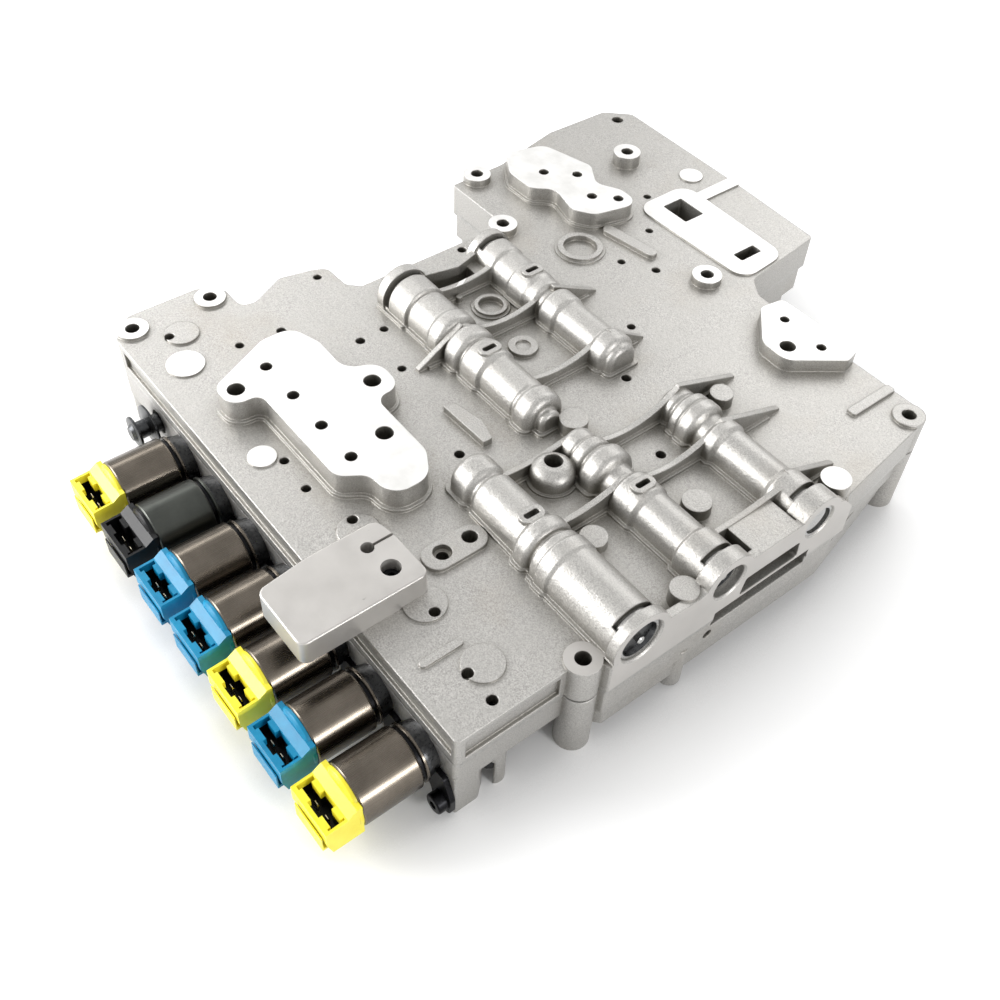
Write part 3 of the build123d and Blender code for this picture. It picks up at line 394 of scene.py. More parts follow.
def milled_aluminium():
    material, tree, shader, place = new_material("milled_aluminium")
    lines = noise(tree, place, 0.6, 3, 14)
    cloud = noise(tree, place, 12, 3)
    metal = blend(tree, spread(tree, cloud, 0, 1), "#dcdbd8", "#f1f0ee")
    finish(tree, shader, {
        "Base Color": metal, "Metallic": 0.45,
        "Roughness": spread(tree, lines, 0.30, 0.42),
        "Normal": bump(tree, lines, 0.02, 0.5, edge_mm=0.5)})
    return material


# %% [markdown]
# The arm block was cast and then ground smooth. It is a little darker than the milled pads, with small
# dark blemishes where the casting had pores.

# %% Ground cast aluminium


def ground_aluminium():
    material, tree, shader, place = new_material("ground_cast_aluminium")
    cloud = noise(tree, place, 14, 4)
    pores = noise(tree, place, 5, 5)
    metal = blend(tree, spread(tree, cloud, 0, 1), "#b6b3af", "#bebbb7")
    metal = blend(tree, spread(tree, pores, 0, 0.8, 0.70, 0.78), metal, "#6a6865")
    finish(tree, shader, {
        "Base Color": metal, "Metallic": 0.6,
        "Roughness": spread(tree, cloud, 0.36, 0.46),
        "Normal": bump(tree, pores, 0.05, 0.4)})
    return material


# %% [markdown]
# A solenoid can is drawn from steel strip and plated. The plating is a dark, warm brown grey. The draw
# leaves very fine lines along the can, and its highlights run along it as smooth bands. The second can
# has a duller, greener phosphate finish.

# %% Plated drawn steel


def plated_steel(name, low, high, line, roughness):
    material, tree, shader, place = new_material(name)
    draw = noise(tree, place, 0.4, 2, 60)
    cloud = noise(tree, place, 12, 3)
    metal = blend(tree, spread(tree, cloud, 0, 1), low, high)
    metal = blend(tree, spread(tree, draw, 0, 0.12), metal, line)
    finish(tree, shader, {
        "Base Color": metal, "Metallic": 1.0,
        "Roughness": spread(tree, draw, roughness, roughness + 0.07),
        "Normal": bump(tree, draw, 0.003, 0.12)})
    return material


# %% [markdown]
# Plain steel parts differ mostly in colour: bright stamped sheet, dark turned steel, blackened screws and
# drawn spring wire. They share one recipe with their own colours, roughness and grain.

# %% Steel parts


def steel(name, low, high, roughness, grain_mm, metallic=1.0):
    material, tree, shader, place = new_material(name)
    grain = noise(tree, place, grain_mm, 3)
    metal = blend(tree, spread(tree, grain, 0, 1), low, high)
    finish(tree, shader, {
        "Base Color": metal, "Metallic": metallic,
        "Roughness": spread(tree, grain, roughness - 0.05, roughness + 0.07),
        "Normal": bump(tree, grain, 0.01, 0.4)})
    return material


# %% [markdown]
# The connector caps are moulded from glass-filled nylon. The colour goes right through, the surface is
# satin with a very fine grain, and the edges scatter a little light.

# %% Moulded nylon


def moulded_nylon(name, low, high, roughness=0.34, shine=0.5):
    material, tree, shader, place = new_material(name)
    grain = noise(tree, place, 0.35, 2)
    flow = noise(tree, place, 7, 3)
    finish(tree, shader, {
        "Base Color": blend(tree, spread(tree, flow, 0, 1), low, high),
        "Roughness": spread(tree, grain, roughness - 0.04, roughness + 0.08),
        "Specular IOR Level": shine,
        "Normal": bump(tree, grain, 0.012, 0.5)})
    return material


# %% [markdown]
# Every finish is made once and named here. The rubber rings are nitrile: black, dull and slightly uneven
# from the mould. They use the steel recipe without its metal.

# %% Make the materials
finishes = {
    "cast": cast_aluminium(),
    "milled": milled_aluminium(),
    "ground": ground_aluminium(),
    "can": plated_steel("plated_drawn_steel", "#5a544c", "#6b645b", "#78726a", 0.24),
    "phosphate": plated_steel("phosphated_drawn_steel", "#434542", "#4e504c", "#575955", 0.34),
    "sheet": steel("bright_stamped_steel", "#9d9c99", "#b9b8b5", 0.32, 1.5),
    "dark": steel("dark_turned_steel", "#3b3c3e", "#515253", 0.30, 1.2),
    "black": steel("black_oxide_steel", "#151516", "#262628", 0.36, 0.8),
    "wire": steel("drawn_spring_wire", "#5e5e60", "#76777a", 0.28, 0.6),
    "ball": steel("ground_ball_steel", "#b4b5b8", "#c6c7c9", 0.12, 2.0),
    "turned": steel("turned_aluminium", "#a4a4a3", "#c0c0be", 0.30, 0.7),
    "spool": steel("hard_anodised_aluminium", "#8d8e90", "#a2a3a5", 0.32, 0.9),
    "tin": steel("tinned_brass", "#b9ad90", "#d8d2c0", 0.25, 0.8),
    "rubber": steel("moulded_nitrile_rubber", "#101010", "#1b1b1b", 0.62, 0.7, 0.0),
    "yellow": moulded_nylon("moulded_yellow_nylon", "#efdf2c", "#f5ea44"),
    "blue": moulded_nylon("moulded_blue_nylon", "#0b769f", "#138ab3", 0.38, 0.35),
    "black_nylon": moulded_nylon("moulded_black_nylon", "#09090a", "#101112", 0.32, 0.22),
}
print("materials:", ", ".join(material.name for material in finishes.values()))

# %% [markdown]
# Each CAD node that keeps its own shape gets the finish of its real material. The record names a slot for
# every node, and this table says which finish stands for the slot. The hold-down plates are stamped
# steel like the other plates, but blackened.

# %% Finishes of the CAD nodes
SLOT_FINISH = {
    "cast_aluminium": "cast", "plug_aluminium": "turned", "spool_aluminium": "spool",
    "plate_steel": "sheet", "spring_steel": "wire", "ball_steel": "ball", "dark_steel": "dark",
    "can_steel": "can", "black_screw": "black", "yellow_cap": "yellow", "black_cap": "black_nylon",
    "blue_cap": "blue", "terminal_brass": "tin", "black_rubber": "rubber",
}
slot_of = {part["node"]: part["material_slot"] for part in frame["record"]["subparts"]}
for name, node in nodes.items():
    node.data.materials.clear()
    node.data.materials.append(finishes[SLOT_FINISH[slot_of[name]]])
nodes["hold_down_plates"].data.materials[0] = finishes["black"]
print("finished", len(nodes), "nodes")

# %% [markdown]
# The two castings keep their CAD form. A copy is merged into one skin, so that it can be shaded smooth
# over its curves, and its machined faces get materials of their own. Pads and boss tops are known by
# their height alone. Low seats share their height with cast feet, so they are known by their place too:
# a height, a centre and a radius in millimetres.

# %% The castings
MILLED_HEIGHTS = (64, 61, 59, 56)
MILLED_SPOTS = [
    (53.5, -259.5, -48.0, 7.6), (53.5, -259.5, -8.4, 7.6), (52.8, -225.0, -39.6, 8.9),
    (52.8, -155.7, -41.3, 6.4), (52.8, -203.1, 254.5, 6.6),
]
# The corner boss is milled like the pads but takes the darker ground finish, as painted shade.
PAINTED_SHADE_BOSS = (53.5, 7.6)
BRIDGE_PAD_HEIGHT = 53
BRIDGE_PAD_START = 205
FRONT_FACE_X = 9
WALL_BASE = 36
LEVEL_SLACK = 0.05
MERGE_DISTANCE = 0.002
CAST, MILLED, GROUND = range(3)


def near(value, wanted):
    return abs(value - wanted) < LEVEL_SLACK


def machining(polygon):
    """Which material a face of the casting takes: cast skin, milled seat or ground wall."""
    x, y, z = polygon.center / MM
    if polygon.normal.x > 0.999 and near(x, FRONT_FACE_X) and z > WALL_BASE:
        return GROUND
    if polygon.normal.z < 0.999:
        return CAST
    # Painted shade: the milled corner boss takes the ground finish.
    if near(z, PAINTED_SHADE_BOSS[0]) and math.hypot(x, y) < PAINTED_SHADE_BOSS[1]:
        return GROUND
    by_height = any(near(z, level) for level in MILLED_HEIGHTS)
    by_spot = any(near(z, level) and math.hypot(x - spot_x, y - spot_y) < radius
                  for level, spot_x, spot_y, radius in MILLED_SPOTS)
    bridge_pad = near(z, BRIDGE_PAD_HEIGHT) and y > BRIDGE_PAD_START
    return MILLED if by_height or by_spot or bridge_pad else CAST


def node_copy(node_name):
    """A copy of a CAD node, merged to one connected mesh. The node itself stays as it is."""
    deselect()
    node = nodes[node_name]
    skin = node.copy()
    skin.data = node.data.copy()
    skin.name = skin.data.name = f"{node_name}_skin"
    skin.parent = None
    for key in list(skin.keys()):
        del skin[key]
    bpy.context.scene.collection.objects.link(skin)
    edit_faces(skin, lambda face: True)
    bpy.ops.mesh.remove_doubles(threshold=MERGE_DISTANCE * MM)
    bpy.ops.object.mode_set(mode="OBJECT")
    bpy.ops.mesh.customdata_custom_splitnormals_clear()
    skin.data.materials.clear()
    return skin


def casting_skin(node_name):
    skin = node_copy(node_name)
    coat(skin, machining, "cast", "milled", "ground")
    smooth(skin, 28)
    hand_over(skin, "housing", node_name)
    print(skin.name, len(skin.data.polygons), "faces")


for casting in ("upper_casting", "lower_casting"):
    casting_skin(casting)

# %% [markdown]
# A solenoid can is deep-drawn steel with a turned valve nose. It is turned here in one go, from the end
# that carries the cap to the tip of the nose. The first edge is rolled over, so it shows as a thin bright
# ring beside the cap. The groove behind the can is black, and the neck behind its collar is painted dark
# as the shade that falls there. Each step is an offset from the can's end and a radius, and one can is
# made and copied along the row.

# %% Solenoid cans
ROW = range(1, 8)
CAN_STEPS = [
    (0, 12.2), (0.25, 12.7), (0.7, 13), (24.7, 13), (25.4, 12.5), (25.5, 11.2), (27.1, 11.2),
    (27.15, 12.1), (27.4, 12.4), (28.1, 12.4), (28.4, 12.1), (28.5, 11.4), (30.1, 11.4), (34, 10.5),
    (34, 9.5), (42, 9.5), (42, 8.1), (44.4, 8.1), (44.4, 9.5), (50.4, 9.5), (52.4, 7), (60, 7),
    (62, 9.5), (71.4, 9.5), (72, 8.9),
]
GROOVE = (25.42, 27.12)
# The neck behind the collar is painted dark: painted shade where the casting shades it.
PAINTED_SHADE_NECK = (28.45, 34)
CAN_LOOKS = ["can", "phosphate", "can", "can", "can", "can", "can"]


def row_place(number):
    """The middle of a can's end, where its cap sits."""
    low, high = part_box(f"solenoid_{number}_can")
    return Vector(((low.x + high.x) / 2, low.y, (low.z + high.z) / 2))


def along_row(piece, kind, looks, slots):
    """Copies the first solenoid's piece to all seven, each with its finish. The slots are not used."""
    for number, look, slot in zip(ROW, looks, slots):
        node = f"solenoid_{number}_{kind}"
        shift = row_place(number) - row_place(1)
        one = piece if number == 1 else copy_to(piece, f"{node}_skin", shift)
        one.data.materials[0] = finishes[look]
        hand_over(one, "housing", node)


first_end = row_place(1)
first_can = turned("solenoid_1_can_skin", first_end, "y", CAN_STEPS, 96)


def can_zone(face):
    """Nought on the can and its collar, one in the black groove and two on the neck, painted dark as
    shade.
    """
    offset = (face.center.y - first_end.y) / MM
    if GROOVE[0] < offset < GROOVE[1]:
        return 1
    return 2 if PAINTED_SHADE_NECK[0] < offset < PAINTED_SHADE_NECK[1] else 0


coat(first_can, can_zone, "can", "black", "dark")
smooth(first_can)
along_row(first_can, "can", CAN_LOOKS, ["can_steel"] * len(ROW))
print("solenoid cans:", len(ROW), "of", len(first_can.data.polygons), "faces")

# %% [markdown]
# The connector cap is moulded in one piece: a round flange against the can, a block, and a raised bar
# across its back that slopes down to the socket. The socket is a slot with three wider parts, so that
# only the right plug fits, and a latch tongue stands before it. The block and the bar are sawn cubes
# joined by a Boolean, the pockets are cut with cubes, and a last bevel gives every edge the small radius
# of a moulding. Low down in the pockets the walls are painted black, as painted shade.

# %% Connector caps
CAP_SIDE = 11.6
CAP_FRONT = -15
CAP_BOTTOM = -9.5
CAP_TOP = 5.8
CHIN_TOP = -3
BAR_FRONT = -6
BAR_TOP = 8.4
BAR_CREST = -2.2
SOCKET_FLOOR = -4.6
FRONT_FALL = (0, -0.066, 0.998)
BAR_SLOPE = (0, -0.565, 0.825)
CHIN_SLOPE = (0, -0.958, -0.287)
FLANGE_STEPS = [(-2.3, 10.6), (-1.4, 11.9), (-1, 12.1), (0, 12.1)]
LATCH_SIDES = (-8.5, 9)
LATCH_FACE = (-15.9, -15.4)
LATCH_TOP = -1
LATCH_FOOT = (-15.6, -12)
LATCH_FOOT_HEIGHT = 1.5
POCKETS = [
    (-10.5, -8.6, -13.3, -6.5), (-8.7, 10.3, -12, -8.1), (-3, 4.3, -13.4, -6.3),
    (9.6, 10.5, -13.3, -6.6),
]
POCKET_SLACK = 0.2
SHADE_TOP = 1.5
CAP_EDGE = 0.3
CAP_LOOKS = ["yellow", "black_nylon", "blue", "blue", "yellow", "blue", "yellow"]
CAP_SLOTS = ["yellow_cap", "black_cap", "blue_cap", "blue_cap", "yellow_cap", "blue_cap", "yellow_cap"]


def on_first(*values):
    return first_end + mm(*values)


first_cap = block("solenoid_1_cap_skin", on_first(-CAP_SIDE, CAP_FRONT, CAP_BOTTOM),
                  on_first(CAP_SIDE, 0, CAP_TOP))
saw(first_cap, on_first(0, BAR_FRONT, CAP_TOP), FRONT_FALL)
saw(first_cap, on_first(0, CAP_FRONT, CHIN_TOP), CHIN_SLOPE)
bar = block("cap_bar", on_first(-CAP_SIDE, BAR_FRONT, 0), on_first(CAP_SIDE, 0, BAR_TOP))
saw(bar, on_first(0, BAR_CREST, BAR_TOP), BAR_SLOPE)
combine(first_cap, bar, "UNION")
flange = turned("cap_flange", first_end, "y", FLANGE_STEPS, 96)
combine(first_cap, flange, "UNION")
latch = block("cap_latch", on_first(LATCH_SIDES[0], LATCH_FACE[0], CAP_BOTTOM),
              on_first(LATCH_SIDES[1], LATCH_FACE[1], LATCH_TOP))
latch_foot = block("latch_foot", on_first(LATCH_SIDES[0], LATCH_FOOT[0], CAP_BOTTOM),
                   on_first(LATCH_SIDES[1], LATCH_FOOT[1], CAP_BOTTOM + LATCH_FOOT_HEIGHT))
combine(first_cap, latch_foot, "UNION")
combine(first_cap, latch, "UNION")
for x_low, x_high, y_low, y_high in POCKETS:
    pocket = block("pocket", on_first(x_low, y_low, SOCKET_FLOOR),
                   on_first(x_high, y_high, BAR_TOP + 1))
    combine(first_cap, pocket, "DIFFERENCE")
break_edges(first_cap, CAP_EDGE, 3)
# The cut at SHADE_TOP splits the pocket walls, so that the part below can be painted black as shade.
edit_faces(first_cap, lambda face: True)
bpy.ops.mesh.bisect(plane_co=on_first(0, 0, SHADE_TOP), plane_no=(0, 0, 1))
bpy.ops.object.mode_set(mode="OBJECT")


def in_painted_socket_shade(face):
    """One for a face low down inside the pockets, painted black as shade."""
    x, y, z = (face.center - first_end) / MM
    in_plan = any(x_low - POCKET_SLACK < x < x_high + POCKET_SLACK
                  and y_low - POCKET_SLACK < y < y_high + POCKET_SLACK
                  for x_low, x_high, y_low, y_high in POCKETS)
    return int(in_plan and SOCKET_FLOOR - POCKET_SLACK < z < SHADE_TOP)


coat(first_cap, in_painted_socket_shade, "yellow", "black_nylon")
smooth(first_cap)
along_row(first_cap, "cap", CAP_LOOKS, CAP_SLOTS)
print("connector caps:", len(ROW), "of", len(first_cap.data.polygons), "faces")

# %% [markdown]
# Two flat blades stand in each socket. A blade is a small block whose top is extruded and drawn in to the
# point that guides the plug on. All fourteen are one CAD node, so the copies are joined into one piece.

# %% Terminal blades
BLADE_PLACE = (3.4, -9.9)
BLADE_HALF = (1.5, 0.4)
BLADE_HEIGHT = 4.2
BLADE_TIP = 0.8
BLADE_TAPER = (0.6, 0.4, 1)
BLADE_EDGE = 0.08


def joined(pieces, name):
    deselect()
    for piece in pieces:
        piece.select_set(True)
    bpy.context.view_layer.objects.active = pieces[0]
    bpy.ops.object.join()
    pieces[0].name = pieces[0].data.name = name
    return pieces[0]


half_x, half_y = BLADE_HALF
foot = on_first(BLADE_PLACE[0], BLADE_PLACE[1], SOCKET_FLOOR)
blade = block("blade", foot - mm(half_x, half_y, 0), foot + mm(half_x, half_y, BLADE_HEIGHT))
edit_faces(blade, lambda face: face.normal.z > 0.9)
bpy.ops.mesh.extrude_region_move(TRANSFORM_OT_translate={"value": (0, 0, BLADE_TIP * MM)})
bpy.ops.transform.resize(value=BLADE_TAPER, center_override=foot)
bpy.ops.object.mode_set(mode="OBJECT")
break_edges(blade, BLADE_EDGE)
blades = []
for number in ROW:
    for side in (0, -2 * BLADE_PLACE[0]):
        shift = row_place(number) - first_end + mm(side, 0, 0)
        blades.append(copy_to(blade, "blade_copy", shift))
bpy.data.objects.remove(blade)
blades = joined(blades, "solenoid_terminals_skin")
coat(blades, lambda face: 0, "tin")
hand_over(blades, "housing", "solenoid_terminals")
print("terminal blades:", len(blades.data.polygons), "faces")

# %% [markdown]
# Socket screws are cold-headed and blackened. Head and shank are turned, and a six-sided bar cuts the
# socket into the crown. One function makes the screws of the hold-down plates, of the arm block and of
# the castings, because they differ only in size, place and direction.

# %% Socket screws
CROWN_ROUND = (0.25, 0.7)
TIP_CHAMFER = (0.8, 0.6)


def socket_screw(name, crown, axis, way, head, shank, socket):
    """A screw from the middle of its crown. Head and shank are (radius, length) and the socket is
    (radius, depth), in millimetres. The shank points along way on the axis."""
    (head_r, head_length), (shank_r, shank_length), (socket_r, socket_depth) = head, shank, socket
    end = head_length + shank_length
    near_edge, far_edge = CROWN_ROUND
    tip_length, tip_fall = TIP_CHAMFER
    steps = [(0, head_r - far_edge), (near_edge, head_r - near_edge), (far_edge, head_r),
             (head_length, head_r), (head_length, shank_r), (end - tip_length, shank_r),
             (end, shank_r - tip_fall)]
    screw = turned(name, crown, axis, [(way * offset, radius) for offset, radius in steps], 48)
    deselect()
    bpy.ops.mesh.primitive_cylinder_add(
        vertices=6, radius=socket_r * MM, depth=2 * socket_depth * MM, location=crown,
        rotation=LATHE_TURN[axis])
    combine(screw, bpy.context.object, "DIFFERENCE")
    smooth(screw)
    return screw


def screws_for(node, crowns, *sizes):
    """One screw copied to every crown and joined, in place of its node."""
    first = socket_screw(f"{node}_first", crowns[0], *sizes)
    copies = [copy_to(first, f"{node}_copy", crown - crowns[0]) for crown in crowns[1:]]
    screws = joined([first, *copies], f"{node}_skin")
    coat(screws, lambda face: 0, "black")
    hand_over(screws, "housing", node)
    print(node, len(crowns), "screws,", len(screws.data.polygons), "faces")


HOLD_DOWN_CROWN = (14.6, 27.4, -17.8)
CASTING_BOLTS = [
    (-220.5, 6.8), (-193.5, 32.4), (-109.0, 25.9), (-6.6, -36.5), (-221.9, 112.0), (-153.0, 181.0),
    (-58.7, 94.8), (-102.9, 115.2),
]
CASTING_BOLT_CROWN = 11
ARM_SCREW = (-68.4, -36.4)
ARM_SCREW_CROWN = 59.2
screws_for("hold_down_screws", [row_place(number) + mm(*HOLD_DOWN_CROWN) for number in ROW],
           "y", 1, (4.4, 4.4), (2.05, 14.2), (2.1, 2.4))
screws_for("casting_bolts", [mm(x, y, CASTING_BOLT_CROWN) for x, y in CASTING_BOLTS],
           "z", 1, (4.9, 5), (2.27, 31), (2.3, 3))
screws_for("arm_block_screw", [mm(*ARM_SCREW, ARM_SCREW_CROWN)],
           "z", -1, (3.5, 3.2), (1.65, 12), (1.5, 2))

# %% [markdown]
# The manual valve is turned from bar: round lands in its bore and two discs outside, between which the
# selector lever's pin sits. Small extra steps round the rims over, as on the real part.

# %% Manual valve
VALVE_STEPS = [
    (0, 3.2), (0.3, 3.4), (1.4, 4.6), (1.6, 7.3), (1.8, 7.6), (2.7, 7.6), (2.9, 7.3), (3.1, 4.2),
    (7.8, 4.2), (8.6, 6.0), (8.9, 9.9), (9.1, 10.2), (9.9, 10.2), (10, 10), (10.3, 4.4), (16, 4.4),
    (16, 6), (30, 6), (30, 3.2), (42, 3.2), (42, 6), (54, 6), (54, 3.2), (62, 3.2), (62, 6), (70, 6),
]
low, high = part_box("manual_valve")
valve_end = Vector(((low.x + high.x) / 2, low.y, (low.z + high.z) / 2))
valve = turned("manual_valve_skin", valve_end, "y", VALVE_STEPS, 72)
coat(valve, lambda face: 0, "dark")
smooth(valve)
hand_over(valve, "manual_valve", "manual_valve")
print("manual valve:", len(valve.data.polygons), "faces")

# %% [markdown]
# An end plug is a turned aluminium cup with a centre pin and a groove for its retainer. Its steps are
# offsets from the pin's tip, with each radius given from the plug's own outer radius. The fifth plug has
# a curved slot in a flush face and keeps its CAD form.

# %% End plugs
BORES = [
    ("front_left", -1), ("front_middle", -1), ("front_right", -1), ("rear_left", 1), ("rear_right", 1),
]
FLUSH_PLUG = "front_right"
PLUG_RIM = [
    (0.9, -1.7), (1.0, -1.5), (1.0, -0.3), (1.3, 0), (4.1, 0), (4.3, -0.2), (4.3, -2.6), (6.9, -2.6),
    (6.9, -0.2), (7.1, 0), (10.5, 0),
]
PIN_RADIUS = 1.7
PIN_EDGE = 0.4
CUP_FLOOR = 2.8
CUP_WALL = 2.4
CUP_SHADE = (0.3, 1.6)


def end_plug(name, way):
    low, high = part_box(f"plug_{name}")
    centre = (low + high) / 2
    tip = Vector((high.x if way < 0 else low.x, centre.y, centre.z))
    radius = (high.z - low.z) / 2 / MM
    steps = [(0, PIN_RADIUS - PIN_EDGE), (PIN_EDGE, PIN_RADIUS), (CUP_FLOOR, PIN_RADIUS),
             (CUP_FLOOR, radius - CUP_WALL)]
    steps += [(offset, radius + change) for offset, change in PLUG_RIM]
    plug = turned(f"plug_{name}_skin", tip, "x", [(way * offset, size) for offset, size in steps], 72)

    def in_painted_cup_shade(face):
        """One for the cup's floor and inner wall, painted dark as the shade inside the cup."""
        away = face.center - centre
        off_pin = math.hypot(away.y, away.z) / MM - PIN_RADIUS
        in_ring = CUP_SHADE[0] < off_pin < radius - CUP_SHADE[1] - PIN_RADIUS
        return int(in_ring and abs(face.center.x - tip.x) / MM < CUP_FLOOR + LEVEL_SLACK)

    # The cup's floor and inner wall take the dark steel finish as painted shade.
    coat(plug, in_painted_cup_shade, "turned", "dark")
    smooth(plug)
    hand_over(plug, "housing", f"plug_{name}")


for name, way in BORES:
    if name != FLUSH_PLUG:
        end_plug(name, way)
print("end plugs:", len(BORES) - 1, "turned and the flush one from the frame")

# %% [markdown]
# Each bore's spring sits between its plug and its spool. A copy keeps the CAD form of the coils, because
# they are hidden in the bore.


def squeezed_spring(name):
    node = f"spring_{name}"
    spring = node_copy(node)
    coat(spring, lambda face: 0, "wire")
    hand_over(spring, "housing", node)
    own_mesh(spring)


for name, way in BORES:
    squeezed_spring(name)

# %% [markdown]
# The arm block is a cast bracket that stands on the cover and reaches out over the cans. It is sawn from
# a cube to its plan, its upright corners are rounded first and its top edge after them, and then the
# holes and the clamping slit are cut.

# %% Arm block
ARM_LOW, ARM_HIGH = (-91.4, -82, 52), (-57.8, -26, 64)
BACK_CUT = ((-82.4, -26, 0), (-0.217, 0.976, 0))
SIDE_CUT = ((-91.4, -58, 0), (-0.993, -0.120, 0))
ARM_HOLE = (-81.4, -38.2)
ARM_HOLE_R = 2.7
ARM_CORNER = 3.6
ARM_TOP_EDGE = 0.9
ARM_EDGE = 0.2
SLIT_HALF = 0.6
SLIT_LENGTH = 14
WELL_R = 4.0
WELL_FLOOR = 56
ARM_SCREW_R = 1.8
THROUGH = (50, 66)


def post(x, y, radius, low, high):
    return turned("post", mm(x, y, 0), "z", [(low, radius), (high, radius)], 48)


arm = block("arm_block_skin", mm(*ARM_LOW), mm(*ARM_HIGH))
for point, normal in (BACK_CUT, SIDE_CUT):
    saw(arm, mm(*point), normal)
round_edges(arm, lambda edge: along(edge, "z"), ARM_CORNER * MM, 6)
round_edges(arm, lambda edge: all(near(vert.co.z / MM, ARM_HIGH[2]) for vert in edge.verts)
            and len(edge.link_faces) == 2 and edge.calc_face_angle(0) > 1, ARM_TOP_EDGE * MM, 4)
x, y = ARM_HOLE
under, over = THROUGH
for tool in (post(x, y, ARM_HOLE_R, under, over), post(*ARM_SCREW, WELL_R, WELL_FLOOR, over),
             post(*ARM_SCREW, ARM_SCREW_R, under, over),
             block("slit", mm(x - SLIT_HALF, y, under), mm(x + SLIT_HALF, y + SLIT_LENGTH, over))):
    combine(arm, tool, "DIFFERENCE")
break_edges(arm, ARM_EDGE)
coat(arm, lambda face: 0, "ground")
smooth(arm)
hand_over(arm, "housing", "arm_block")
print("arm block:", len(arm.data.polygons), "faces")

# %% [markdown]
# The camera stands where the photographer stood: off the corner of the solenoid row and the bore wall,
# looking down at 48 degrees. Its place was worked out from known points of the object in the picture.

# %% Camera
CAMERA_PLACE = (0.15592, -0.17839, 0.40094)
TURN, TILT, ROLL = (math.radians(angle) for angle in (49.26, 48.40, -3.41))
FOCAL_LENGTH = 41.4
SENSOR_WIDTH = 36
forward = Vector((-math.sin(TURN) * math.cos(TILT), math.cos(TURN) * math.cos(TILT), -math.sin(TILT)))
level = Vector((math.cos(TURN), math.sin(TURN), 0))
down = -level.cross(forward)
across = math.cos(ROLL) * level + math.sin(ROLL) * down
downward = -math.sin(ROLL) * level + math.cos(ROLL) * down
camera_data = bpy.data.cameras.new("photo_camera")
camera_data.lens = FOCAL_LENGTH
camera_data.sensor_width = SENSOR_WIDTH
camera_data.clip_start = 0.01
camera_data.clip_end = 20
camera = bpy.data.objects.new("photo_camera", camera_data)
bpy.context.scene.collection.objects.link(camera)
turn_matrix = Matrix((across, -downward, -forward)).transposed().to_4x4()
camera.matrix_world = Matrix.Translation(CAMERA_PLACE) @ turn_matrix
bpy.context.scene.camera = camera
print("camera stands", round(Vector(CAMERA_PLACE).length, 3), "m from the corner bolt hole")

# %% [markdown]
# The studio is a white sweep. Light Path tells a surface or the world what kind of ray looks at it. Rays
# from the camera, and those that metal or glass sends on, see plain white. All others see the weaker
# light that really falls on the object, so its colours stay as they are and its shadow stays soft. The
# floor's own white fades where the object covers it, which is a painted shadow around the object.

# %% Floor and world
AMBIENT = 0.50
FLOOR_SIZE = 8
FLOOR_GLOW = 0.55
PAINTED_SHADOW_REACH = 0.12


def seen_directly(tree):
    """One for camera, glossy and transmission rays, and nought for the rest."""
    rays = add(tree, "ShaderNodeLightPath").outputs
    first = add(tree, "ShaderNodeMath", {"operation": "MAXIMUM"},
                {0: rays["Is Camera Ray"], 1: rays["Is Glossy Ray"]})
    return add(tree, "ShaderNodeMath", {"operation": "MAXIMUM"},
               {0: first.outputs[0], 1: rays["Is Transmission Ray"]}).outputs[0]


deselect()
bpy.ops.mesh.primitive_plane_add(size=FLOOR_SIZE, location=(0, 0, 0))
floor = bpy.context.object
floor.name = "studio_floor"
paper = bpy.data.materials.new("white_paper_sweep")
paper.use_nodes = True
paper_tree = paper.node_tree
paper_tree.nodes.remove(paper_tree.nodes["Principled BSDF"])
sheet = add(paper_tree, "ShaderNodeBsdfDiffuse", None, {"Color": linear("#efefef")})
# Painted shadow: ambient occlusion takes the floor's glow away near the object.
painted_shadow_ao = add(paper_tree, "ShaderNodeAmbientOcclusion", {"samples": 8}, {"Distance": PAINTED_SHADOW_REACH})
glow_less_painted_shadow = add(paper_tree, "ShaderNodeMapRange", None, {
    "Value": painted_shadow_ao.outputs["AO"], "From Min": 0.5, "To Max": FLOOR_GLOW}).outputs[0]
glow = add(paper_tree, "ShaderNodeEmission", None, {
    "Color": (1, 1, 1, 1),
    "Strength": add(paper_tree, "ShaderNodeMath", {"operation": "MULTIPLY"},
                    {0: seen_directly(paper_tree), 1: glow_less_painted_shadow}).outputs[0]})
both = add(paper_tree, "ShaderNodeAddShader", None, {0: sheet.outputs[0], 1: glow.outputs[0]})
paper_tree.links.new(both.outputs[0], paper_tree.nodes["Material Output"].inputs["Surface"])
floor.data.materials.append(paper)
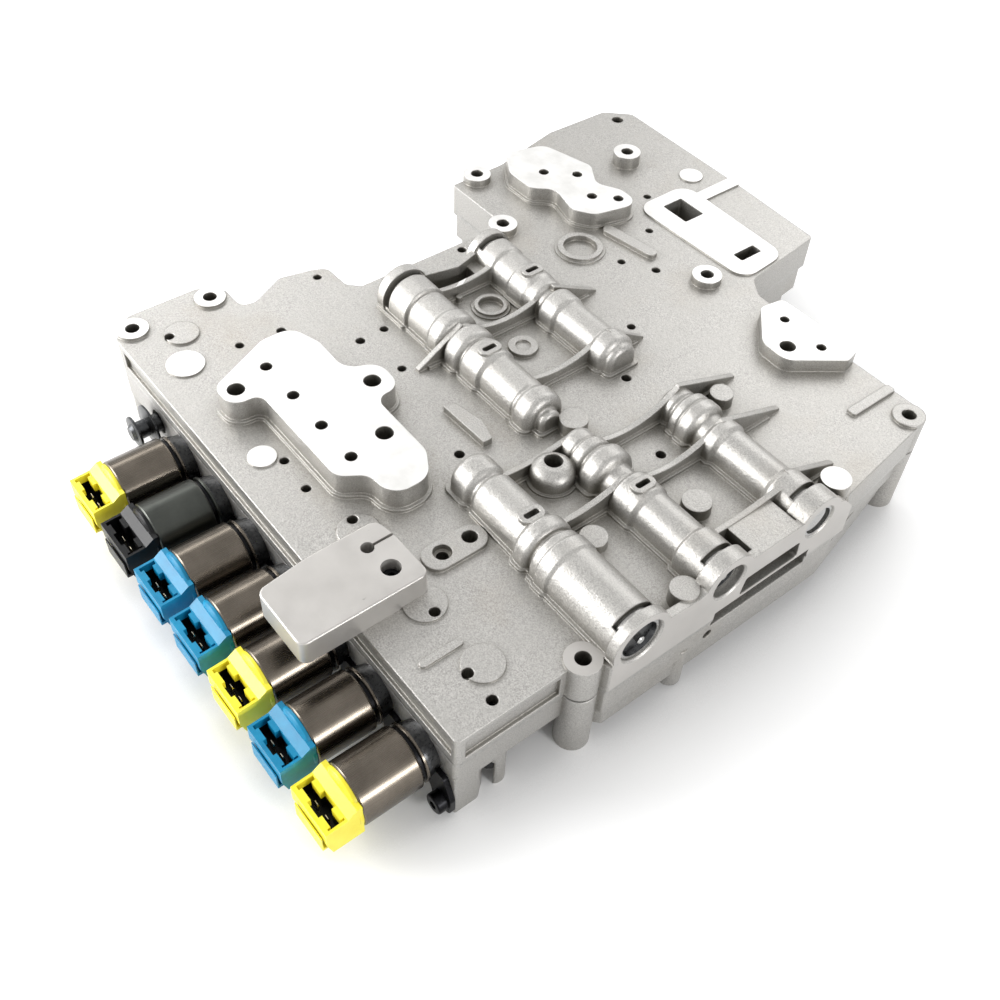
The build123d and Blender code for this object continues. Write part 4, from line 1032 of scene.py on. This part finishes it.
floor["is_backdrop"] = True

world = bpy.data.worlds.new("white_studio")
bpy.context.scene.world = world
world.use_nodes = True
world_tree = world.node_tree
backdrop = world_tree.nodes["Background"]
backdrop.inputs["Color"].default_value = (1, 1, 1, 1)
strength = add(world_tree, "ShaderNodeMapRange", None, {
    "Value": seen_directly(world_tree), "To Min": AMBIENT, "To Max": 1.0})
world_tree.links.new(strength.outputs[0], backdrop.inputs["Strength"])
print("floor of", FLOOR_SIZE, "m and a white world at", AMBIENT, "of full strength")

# %% [markdown]
# Four soft boxes light the object. The first stands low at the left and puts the broad highlights on the
# flanks of the barrels. Two strips stand low at the right and the left of the solenoids, where they show
# in the cans as bright bands. The last hangs behind and lightens the far half of the cover.

# %% Soft boxes
OBJECT_MIDDLE = mm(-136, 90, 30)


def soft_box(name, direction, distance, width, height, power):
    """An area light that looks at the object's middle. Its width runs level."""
    data = bpy.data.lights.new(name, "AREA")
    data.shape = "RECTANGLE"
    data.size = width
    data.size_y = height
    data.energy = power
    lamp = bpy.data.objects.new(name, data)
    bpy.context.scene.collection.objects.link(lamp)
    ray = Vector(direction).normalized()
    lamp.location = OBJECT_MIDDLE + ray * distance
    lamp.rotation_euler = ray.to_track_quat("Z", "Y").to_euler()


soft_box("left_soft_box", (-0.50, -0.75, 0.34), 0.9, 0.50, 0.50, 9.5)
soft_box("right_strip", (0.95, 0.06, 0.305), 1.08, 0.30, 0.12, 4.6)
soft_box("left_strip", (-0.80, 0.01, 0.595), 0.94, 0.80, 0.13, 2.0)
soft_box("back_soft_box", (-0.25, 0.75, 0.60), 1.10, 0.60, 0.60, 2.6)
print("soft boxes:", ", ".join(lamp.name for lamp in bpy.data.lights))

# %% [markdown]
# The Standard view transform shows each colour as it was set, and a filmic one would grey the whites. The
# size of the finished object is printed.

# %% View settings and size
bpy.context.scene.view_settings.view_transform = "Standard"
low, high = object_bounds()
print("finished object measures", [round(side / MM, 1) for side in high - low], "mm")
